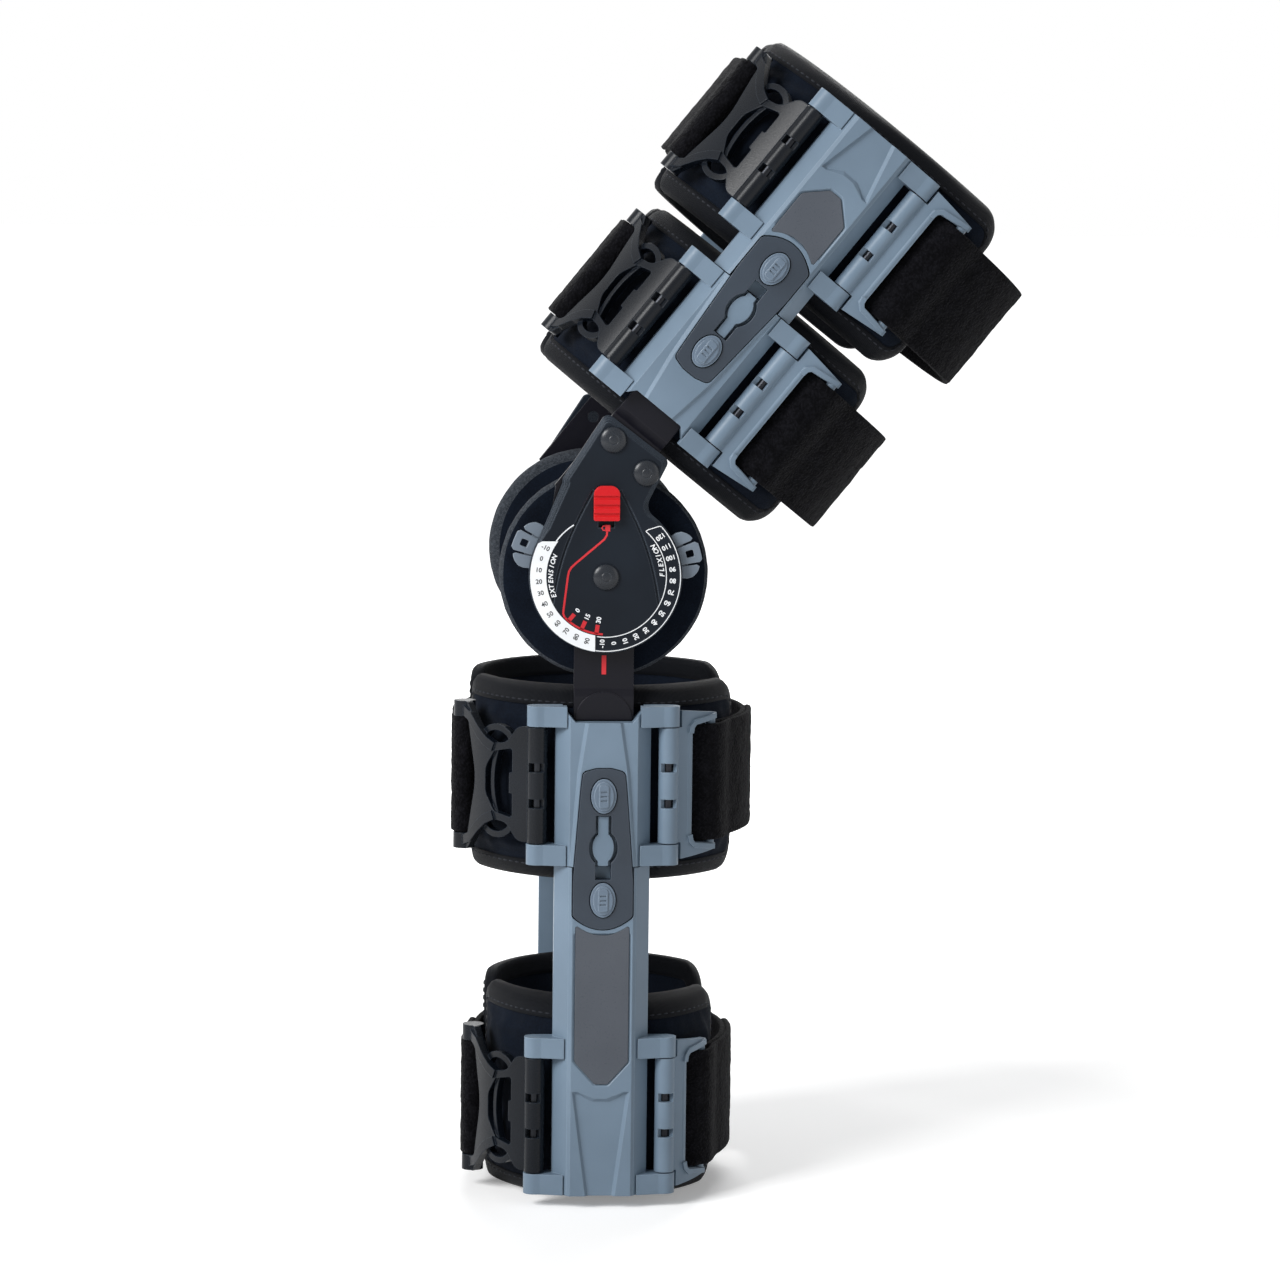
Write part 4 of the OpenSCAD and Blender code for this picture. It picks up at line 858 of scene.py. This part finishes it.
def pin_of(cuff, side):
    return np.array([side * (STRUT_MIDDLE[cuff.strut] + side * PIN_REACH - LEG_MIDDLE[cuff.strut]),
                     FRAME_UNDERSIDE[cuff.strut] + PIN_UP])


def bar_of(cuff, side, reach):
    """Where the strap's bar lies: reach from the pin, and one strap over the pad."""
    pin = pin_of(cuff, side)
    a, b = [half + BAR_LIFT[reach] for half in cuff.outer]
    low, high = 0.0, math.radians(89)
    for _ in range(30):
        slope = (low + high) / 2
        tip = pin + reach * np.array([math.cos(slope), -math.sin(slope)])
        if (tip[0] / a) ** 2 + (tip[1] / b) ** 2 > 1:
            low = slope
        else:
            high = slope
    return tip


def over_pad(cuff, t, lift):
    return np.array([(cuff.outer[0] + lift) * math.cos(t), (cuff.outer[1] + lift) * math.sin(t)])


def polar(radius, angle):
    a = math.radians(angle)
    return radius * math.cos(a), radius * math.sin(a)


def arc_points(radius, first, last, steps, middle=(0, 0)):
    """Points on an arc, from the direction first to the direction last, both in degrees."""
    return [np.add(middle, polar(radius, first + (last - first) * k / steps)) for k in range(steps + 1)]


def eased(gone, way, height):
    """A height that falls smoothly to nothing over a way."""
    share = min(1.0, max(0.0, gone / way))
    return height * (1 - 3 * share ** 2 + 2 * share ** 3)


def lapped_end(cuff, at_bar, lap, off):
    """The end that lies on the strap, from its tip to the bar; off: how much higher than a loop's it is."""
    radius = sum(cuff.outer) / 2
    step_down = BAR_LIFT[LOOP_LONG] + TURN_R - ON_STRAP
    points = []
    for k in range(30, -1, -1):
        way = lap * k / 30
        lift = ON_STRAP + eased(way, SETTLE, off) + eased(way, FALL, step_down)
        points.append(over_pad(cuff, at_bar - way / radius, lift))
    return points


def fold_at_loop(pin, bar):
    """At a loop, the strap ducks under the loop's frame and folds short of the bar."""
    along = (bar - pin) / LOOP_LONG
    up = np.array([-along[1], along[0]])
    turn = math.degrees(math.atan2(up[1], up[0]))
    dip, fold = pin + along * LOOP_DIP, pin + along * LOOP_FOLD
    turned = arc_points(FOLD_R, turn, turn + 180, 6, fold - up * FOLD_UNDER)
    return [dip + up * DIP_OVER, *turned, dip - up * DIP_UNDER]


def fold_at_buckle(cuff, bar):
    outward = math.degrees(math.atan2(bar[1] / cuff.outer[1] ** 2, bar[0] / cuff.outer[0] ** 2))
    return arc_points(TURN_R, outward, outward + 180, 9, bar)


def tail_at(cuff, pin, half_sizes):
    """The end that lies back on the strap behind the inner pin."""
    a, b = half_sizes
    back_at = math.atan2(-abs(pin[1]) / b, pin[0] / a)
    points = []
    for share in [k / 14 for k in range(1, 15)]:
        settled = over_pad(cuff, back_at + TAIL * share / ((a + b) / 2), ON_STRAP)
        high = np.array([pin[0] + TAIL * share, pin[1] - TAIL_OFF])
        s = 1 - eased(share, TAIL_RISE, 1)
        limit = min(settled[1], -(cuff.flat + ON_STRAP)) if settled[0] < TAIL_FLAT else settled[1]
        points.append(np.array([settled[0] * s + high[0] * (1 - s), limit * s + high[1] * (1 - s)]))
    return points


def strap_line(cuff, side, reach, lap):
    """The line from the lapped end on the outer side, round the bar and the leg, to the inner pin."""
    pin, bar = pin_of(cuff, side), bar_of(cuff, side, reach)
    lift = BAR_LIFT[reach]
    off = lift - BAR_LIFT[LOOP_LONG]
    at_bar = math.atan2(bar[1] / (cuff.outer[1] + lift), bar[0] / (cuff.outer[0] + lift))
    fold = fold_at_loop(pin, bar) if reach == LOOP_LONG else fold_at_buckle(cuff, bar)
    a, b = [half + ON_PAD for half in cuff.outer]
    gone = pin[0] / a, pin[1] / b
    far = math.hypot(*gone)
    leave = math.atan2(gone[1], gone[0]) - (math.acos(1 / far) if far > 1 else 0)
    to = -min(leave, math.asin(min(1, (cuff.flat + ON_PAD) / b)))
    way = (at_bar - to) * (a + b) / 2
    main = [over_pad(cuff, at_bar + (to - at_bar) * k / 90, ON_PAD + eased(way * k / 90, SETTLE, off))
            for k in range(1, 91)]
    inner_pin = np.array([pin[0], -pin[1]])
    end = arc_points(PIN_R + STRAP_THICK / 2 + 0.1, 90, 270, 9, inner_pin)
    return lapped_end(cuff, at_bar, lap, off) + fold + main + end + tail_at(cuff, inner_pin, (a, b))


def evenly(points, step, rounds=2):
    """Points at an even spacing along a line, smoothed a little."""
    line = np.array(points)
    for _ in range(rounds):
        gaps = np.concatenate([[0], np.cumsum(np.linalg.norm(np.diff(line, axis=0), axis=1))])
        even = np.linspace(0, gaps[-1], max(8, int(gaps[-1] / step)) + 1)
        line = np.stack([np.interp(even, gaps, line[:, i]) for i in (0, 1)], 1)
        line[1:-1] = line[1:-1] * 0.5 + (line[:-2] + line[2:]) * 0.25
    return line


# %% [markdown]
# The band is swept as a thin closed section with rounded edges. Every point of its faces
# is pushed in or out by a fine noise, so that the pile shows in its outline too.

# %% Sweep a pile band along the line
ALONG_STEP, ACROSS_STEP = 1.15, 1.5
EDGE_OUT, EDGE_UP = 0.35, 0.18      # where the rounded edge lies, past the faces and off the middle
PILE, EDGE_PILE = 0.34, 0.4         # how far noise pushes the faces, and its share at the edges
TUFTS, CLUMPS = (620, 0.6), (190, 0.8)      # the two noises' scales and shares
TAPER, TAPER_LONG = 0.07, 4         # how much narrower a cut end is, and over what length
THIN, THIN_LONG = 0.35, 1.8         # the same for its thickness


def sweep_strap(cuff, side, name, line):
    """A closed band along a line of the section, with rounded edges and an uneven pile."""
    tangents = np.gradient(line, axis=0)
    tangents /= np.linalg.norm(tangents, axis=1)[:, None]
    normals = np.stack([-tangents[:, 1], tangents[:, 0]], 1)
    columns = int(2 * STRAP_HALF / ACROSS_STEP)
    profile = [(-STRAP_HALF + 2 * STRAP_HALF * k / columns, 0.5) for k in range(columns + 1)]
    profile += [(STRAP_HALF + EDGE_OUT, EDGE_UP), (STRAP_HALF + EDGE_OUT, -EDGE_UP)]
    profile += [(-w, -h) for w, h in profile]
    points = []
    n, m = len(line), len(profile)
    for i in range(n):
        from_end = min(i, n - 1 - i) * ALONG_STEP
        taper = 1 - TAPER * max(0.0, 1 - from_end / TAPER_LONG) ** 2
        thin = STRAP_THICK * (THIN + (1 - THIN) * min(1.0, from_end / THIN_LONG))
        for w, h in profile:
            x, z = line[i] + normals[i] * h * thin
            spot = place(cuff.strut, LEG_MIDDLE[cuff.strut] + side * x, cuff.middle + w * taper, z)
            push = PILE * sum(field.noise(spot * scale) * share for scale, share in (TUFTS, CLUMPS))
            lift = normals[i] * push * (1 if h > 0 else -1) * (1 if abs(w) < STRAP_HALF else EDGE_PILE)
            points.append(spot + place(cuff.strut, side * lift[0], 0, lift[1]))
    ends = [list(range(m)), list(range((n - 1) * m, n * m))]
    band = new_piece(name, points, ring_faces(n, m) + ends, FINISH["strap"])
    heal(band)
    return band


# %% Straps of every cuff
STRAPS = [  # where on the leg, side, reach of its bar, length that lies on itself, how it swings
    ("front", -1, BUCKLE_LONG, 42, "buckle"), ("rear", 1, LOOP_LONG, 62, "loop"),
]

for cuff in CUFFS:
    for kind, side, reach, lap, swing in STRAPS:
        line = evenly(strap_line(cuff, side, reach, lap), ALONG_STEP)
        strap = sweep_strap(cuff, side, f"{cuff.name}_{kind}_webbing", line)
        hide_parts(f"{cuff.name}_{kind}_strap")
        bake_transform(strap)
        print(strap.name, round(len(line) * ALONG_STEP), "mm of band,", len(strap.data.vertices), "points")

# %% [markdown]
# ## Hinge pads
# Between each hinge and the knee sits a round foam pad: black brushed fabric on its faces,
# and a paler, fuzzy cut edge. It is turned on a section like a cushion, full in the middle
# and a little rounded to its rim, and the rim is roughened so that the cut edge doesn't
# look machined.

# %% Turn the pads
HINGE_PAD_IN = 54.0      # from the leg's middle plane to the pad's inner face
HINGE_PAD_INNER = [(0, 0.0), (12, 0.0), (24, 0.05), (34, 0.35), (40, 1.1), (42.2, 2.0)]
HINGE_PAD_EDGE = [(43.3, 3.2), (43.8, 5.0), (43.9, 6.8), (43.7, 8.6), (43.2, 9.9)]
HINGE_PAD_OUTER = [(42.3, 10.7), (41, 11.05), (38, 11.3), (34, 11.44), (31, 11.46), (16, 11.46), (0, 11.46)]
ROUGH_FROM = 41          # the rim is uneven outside this radius
WAVE, FRAY = (9, 0.28), (60, 0.12)     # scales and heights of its slow and its fine unevenness


def make_hinge_pad(name, side, turns=160):
    points = []
    section = HINGE_PAD_INNER + HINGE_PAD_EDGE + HINGE_PAD_OUTER
    for r, h in section:
        for k in range(turns):
            a = math.tau * k / turns
            out = Vector((math.cos(a), 0, math.sin(a)))
            wobble = 0.0
            if r > ROUGH_FROM:
                wobble = WAVE[1] * field.noise(out * WAVE[0] + Vector((0, h / 2, side * 5)))
                wobble += FRAY[1] * field.noise(out * FRAY[0] + Vector((0, h, 0)))
            points.append((out * (r + wobble) + Vector((0, -side * (HINGE_PAD_IN + h), 0))) * MM)
    pad = new_piece(name, points, ring_faces(len(section), turns), FINISH["pad"])
    pad.data.materials.append(FINISH["fuzz"])
    edge_start = (len(HINGE_PAD_INNER) - 2) * turns
    edge_end = (len(HINGE_PAD_INNER) + len(HINGE_PAD_EDGE)) * turns
    for polygon in pad.data.polygons[edge_start:edge_end]:
        polygon.material_index = 1
    heal(pad, 0.00001)
    smooth_out(pad)
    return pad


hinge_pads = [make_hinge_pad("hinge_pad_lateral", 1), make_hinge_pad("hinge_pad_medial", -1)]
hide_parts("hinge_pads")
for pad in hinge_pads:
    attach(pad, "thigh")
print("hinge pads", [round(v * 1000) for v in hinge_pads[0].dimensions], "mm")

# %% [markdown]
# ## The dial's print
# The scales, their words and the lock's red line are ink on the hinge covers. Ink could be
# painted by a shader, but its edges would blur when looked at closely, so each shape is a
# plate a few hundredths of a millimetre thick that stands on the cover. The letters come
# from Blender's own font. One small class gathers all the shapes of a colour into a piece.
# Places are in millimetres from the hinge axis, to the rear and up, and the inner cover
# gets the same layout, with letters that read correctly from its own side.

# %% A collector for printed shapes
COVER_TOP = 78.2
BAR_TOP = 71.0
INK_SUNK = 0.03       # how deep a plate stands in the surface under it
letter_shapes = {}


def letters_of(words, bold, lean):
    """The flat outline of some words at a size of 1, as points and faces."""
    key = (words, bold, lean)
    if key not in letter_shapes:
        text = bpy.data.curves.new("letters", "FONT")
        text.body, text.size, text.offset, text.shear = words, 1, bold, lean
        text.align_x, text.align_y, text.extrude, text.resolution_u = "CENTER", "CENTER", 0.5, 3
        holder = link_new("letters", text)
        solid = holder.evaluated_get(bpy.context.evaluated_depsgraph_get())
        mesh = solid.to_mesh()
        corners = [v.co.copy() for v in mesh.vertices]
        middle = [(max(c[i] for c in corners) + min(c[i] for c in corners)) / 2 for i in (0, 1)]
        points = [(c.x - middle[0], c.y - middle[1], c.z) for c in corners]
        letter_shapes[key] = points, [list(p.vertices) for p in mesh.polygons]
        solid.to_mesh_clear()
        bpy.data.objects.remove(holder)
        bpy.data.curves.remove(text)
    return letter_shapes[key]


class Ink:
    """Gathers flat shapes of one colour on one side of the brace; side is 1 for the outer one."""

    def __init__(self, side, surface, height):
        self.side, self.low, self.high = side, surface - INK_SUNK, surface + height
        self.points, self.faces = [], []

    def spot(self, x, z, out):
        self.points.append(Vector((x, -self.side * out, z)) * MM)

    def band(self, left, right):
        """A plate between two lines that have the same number of points."""
        base = len(self.points)
        for (lx, lz), (rx, rz) in zip(left, right):
            self.spot(lx, lz, self.high)
            self.spot(rx, rz, self.high)
            self.spot(rx, rz, self.low)
            self.spot(lx, lz, self.low)
        last = base + 4 * (len(left) - 1)
        for first in range(base, last, 4):
            for k in range(4):
                j = (k + 1) % 4
                self.faces.append([first + k, first + j, first + j + 4, first + k + 4])
        self.faces += [[base + k for k in (3, 2, 1, 0)], [last + k for k in range(4)]]

    def line(self, points, width):
        """A line of even width through some points."""
        line = np.array(points, float)
        go = np.gradient(line, axis=0)
        go /= np.linalg.norm(go, axis=1)[:, None]
        aside = np.stack([-go[:, 1], go[:, 0]], 1) * width / 2
        self.band((line + aside).tolist(), (line - aside).tolist())

    def arc(self, radius, first, last, width):
        self.line(arc_points(radius, first, last, 40), width)

    def write(self, words, radius, angle, turn, size, bold, lean=0.0):
        """Words with their middle at a radius and an angle, turned in degrees."""
        points, faces = letters_of(words, bold, lean)
        x, z = polar(radius, angle)
        c, s = polar(size, turn)
        base = len(self.points)
        for u, up, h in points:
            right = u * self.side
            self.spot(x + right * c - up * s, z + right * s + up * c, self.high if h > 0 else self.low)
        self.faces += [[base + k for k in face] for face in faces]

    def finish(self, name, kind, body, slot):
        piece = new_piece(name, self.points, self.faces, FINISH[kind], smooth=False)
        heal(piece)
        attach(piece, body)


INK = dict(grain=2200.0, depth=0.000004, radius=0.00005)
for name, low, high in (("white_ink", (226, 229, 232), (243, 244, 245)),
                        ("black_ink", (22, 23, 26), (34, 35, 38)),
                        ("red_ink", (186, 36, 44), (206, 50, 56))):
    FINISH[name] = hard_finish(name, low, high, high, 0.45, 0.3, **INK)
print("ink finishes ready")

# %% [markdown]
# The extension scale is a white band with dark numbers, flat at its top. The flexion scale
# is only outlined. All numbers read towards the hinge. The lock's red line runs from its
# small padlock down to three ticks, which say at which angles the lock can hold the knee.

# %% Print both covers
BAND_IN, BAND_OUT, BAND_TOP, BAND_END = 24.8, 31.5, 14.7, -4.2
BAND_NIB = 1.2        # how much the band's outer corner is cut back at its flat top
RING_IN, RING_OUT = 25.2, 31.1
RING_ARCS = [(RING_IN, -98, 49.5), (RING_OUT, -97.5, 42.5)]      # radius, first and last angle
RING_CORNER = [(RING_IN, 49.5), (26.4, 48.6), (30.4, 44.2), (31.0, 43.2), (RING_OUT, 42.3)]
UPPER_R, UPPER_END = 25.5, 122
LOCK_FIRST, LOCK_LAST = 225.6, 267.5
RING_WIDTH, UPPER_WIDTH, LOCK_WIDTH, SHACKLE_WIDTH = 0.36, 0.5, 0.85, 0.5
NUMBER_R, NUMBER_SIZE = 27.9, 2.7
DARK_BOLD, WHITE_BOLD, WORD_BOLD = 0.02, 0.03, 0.025
EXTENSION = [(str(n), 154.3 + 9.98 * k) for k, n in enumerate(range(-10, 91, 10))]
FLEXION = [(str(n), 36.7 - 9.95 * k) for k, n in enumerate(range(120, -11, -10))]
WORDS = [  # the word, its radius, the angles of its middle and from letter to letter, how letters turn
    ("EXTENSION", 23.0, 179.5, -5.15, -90), ("FLEXION", 23.4, 17.6, 5.0, 90),
]
WORD_SIZE, WORD_LEAN = 2.75, 0.2
LOCK_MARKS = [("0", 230.2), ("15", 245.6), ("30", 261.0)]
LOCK_MARK_R = 18.2
TICK, TICK_WIDTH = (20.3, 22.0, 24.0), 1.7
LOCK_LINE = [(0.3, 18.9), (0.2, 17.4), (-0.9, 15.6), (-3.6, 13.3), (-12.6, 5.6), (-14.4, 3.9), (-15.4, 2.2),
             (-15.8, 0.2), (-17.5, -13.8), (-17.6, -15.4), (-17.0, -17.0)]
PADLOCK = [(-0.5, 21.7), (1.6, 21.7)], [(-0.5, 19.0), (1.6, 19.0)]
SHACKLE = [(-0.4, 21.3), (-1.4, 21.2), (-1.9, 20.4), (-1.4, 19.5), (-0.4, 19.4)]
INDEX_MARK, INDEX_WIDTH = [(0, -33.6), (0, -37.0), (0, -41.6)], 1.9
INK_HEIGHTS, INDEX_HEIGHT = (0.05, 0.09, 0.07), 0.06     # of the white, black and red plates


def edge_angles(radius):
    """Where the white band starts and ends at a radius: at its flat top and its upright end."""
    return 180 - math.degrees(math.asin(BAND_TOP / radius)), 360 - math.degrees(math.acos(BAND_END / radius))


def print_extension(white, black):
    inner, outer = [arc_points(r, *edge_angles(r), 60) for r in (BAND_IN, BAND_OUT)]
    outer[0][0] += BAND_NIB
    white.band(inner, outer)
    white.arc(UPPER_R, edge_angles(UPPER_R)[0], UPPER_END, UPPER_WIDTH)
    for number, angle in EXTENSION:
        black.write(number, NUMBER_R, angle, angle + 180, NUMBER_SIZE, DARK_BOLD)


def print_flexion(white):
    for radius, first, last in RING_ARCS:
        white.arc(radius, first, last, RING_WIDTH)
    white.line([polar(r, a) for r, a in RING_CORNER], RING_WIDTH)
    for number, angle in FLEXION:
        white.write(number, NUMBER_R, angle, angle + 180, NUMBER_SIZE, WHITE_BOLD)


def print_words(white):
    for word, radius, middle, step, turn in WORDS:
        for k, letter in enumerate(word):
            angle = middle + step * (k - (len(word) - 1) / 2) * white.side
            white.write(letter, radius, angle, angle + turn, WORD_SIZE, WORD_BOLD, WORD_LEAN)


def print_lock(white, red):
    for number, angle in LOCK_MARKS:
        white.write(number, LOCK_MARK_R, angle, angle + 180, NUMBER_SIZE, WHITE_BOLD)
        red.line([polar(r, angle) for r in TICK], TICK_WIDTH)
    red.line(LOCK_LINE, LOCK_WIDTH)
    red.arc(TICK[-1], LOCK_FIRST, LOCK_LAST, LOCK_WIDTH)
    red.band(*PADLOCK)
    red.line(SHACKLE, SHACKLE_WIDTH)


for side, where in ((1, "lateral"), (-1, "medial")):
    white, black, red = [Ink(side, COVER_TOP, height) for height in INK_HEIGHTS]
    print_extension(white, black)
    print_flexion(white)
    print_words(white)
    print_lock(white, red)
    white.finish("dial_white_print_" + where, "white_ink", "thigh", "label")
    black.finish("dial_black_print_" + where, "black_ink", "thigh", "label")
    red.finish("dial_red_print_" + where, "red_ink", "thigh", "lock")
    mark = Ink(side, BAR_TOP, INDEX_HEIGHT)
    mark.line(INDEX_MARK, INDEX_WIDTH)
    mark.finish("bar_index_mark_" + where, "red_ink", "calf", "lock")
    print(where, len(white.points) + len(black.points) + len(red.points), "points of print")

# %% [markdown]
# ## Rivets
# Three domed rivets hold each hinge. Their heads catch the light more than anything else on
# the dark cover, so they are turned again here with a smooth crown, a fine ring and a rolled
# rim, and they keep their shanks. A section of radius and height is spun round each axis.

# %% Turn the rivets
RIVET_HEAD = [(5.1, 0.0), (5.5, 0.42), (5.42, 0.8), (5.1, 1.12), (4.3, 1.56), (3.3, 1.9), (2.4, 2.08),
              (2.15, 2.1), (2.0, 1.94), (1.85, 2.12), (1.2, 2.22), (0.5, 2.26), (0, 2.26)]
RIVET_SPOTS = [((0, 0), 65.8), ((-34, 46), 71.3), ((-14.6, 44), 71.3)]     # place and shank's foot
SHANK_R, HEAD_FOOT_R = 2.5, 5.05
HEAD_SUNK = 0.02


def spin_rivets(name, turns=48):
    points, faces = [], []
    for side in (1, -1):
        for (across, along), foot in RIVET_SPOTS:
            low = foot - COVER_TOP
            shank = [(0, low), (SHANK_R, low), (SHANK_R, -HEAD_SUNK), (HEAD_FOOT_R, -HEAD_SUNK)]
            section = shank + RIVET_HEAD
            faces += ring_faces(len(section), turns, len(points))
            for r, h in section:
                for k in range(turns):
                    a = math.tau * k / turns
                    spot = place("thigh", across + r * math.cos(a), along + r * math.sin(a), COVER_TOP + h)
                    points.append(Vector((spot.x, side * spot.y, spot.z)))
    rivets = new_piece(name, points, faces, FINISH["rivet"])
    heal(rivets, 0.000001)
    rivets.data.set_sharp_from_angle(angle=math.radians(50))
    return rivets


turned_rivets = spin_rivets("turned_rivets")
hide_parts("hinge_rivets")
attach(turned_rivets, "thigh")
print(turned_rivets.name, len(turned_rivets.data.polygons), "faces")

# %% [markdown]
# ## Finishes for the hard parts
# The solids of the model keep their shapes. Each gets its finish by its name.

# %% Give every hard part its finish
BY_NAME = [
    ("hinge_cover", "cover"), ("hinge_back_plates", "steel"), ("thigh_bar", "bar"), ("calf_bar", "bar"),
    ("quick_lock", "lock"), ("_stop", "stop"), ("_frame_", "frame"), ("_tracks", "track"),
    ("_label_plates", "label"), ("_button_", "button"), ("_pins", "pin"), ("_buckle", "buckle"),
    ("_loop", "frame"),
]
finished = 0
for name, part in nodes.items():
    kind = next((finish for word, finish in BY_NAME if word in name), None)
    if kind:
        part.data.materials.clear()
        part.data.materials.append(FINISH[kind])
        for polygon in part.data.polygons:
            polygon.material_index = 0
        finished += 1
print(finished, "hard parts finished")

# %% [markdown]
# ## Last step
# The colours are shown as written, without a film look. The two boxes, of the bare model
# and of the dressed one, are kept side by side, and how far the dressed one grew is printed.

# %% Print the sizes
scene.view_settings.view_transform = "Standard"
dressed_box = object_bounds()
growth = [[round((b - a) * 1000, 1) for a, b in zip(p, q)] for p, q in zip(cad_box, dressed_box)]
print("grew by", growth, "mm")
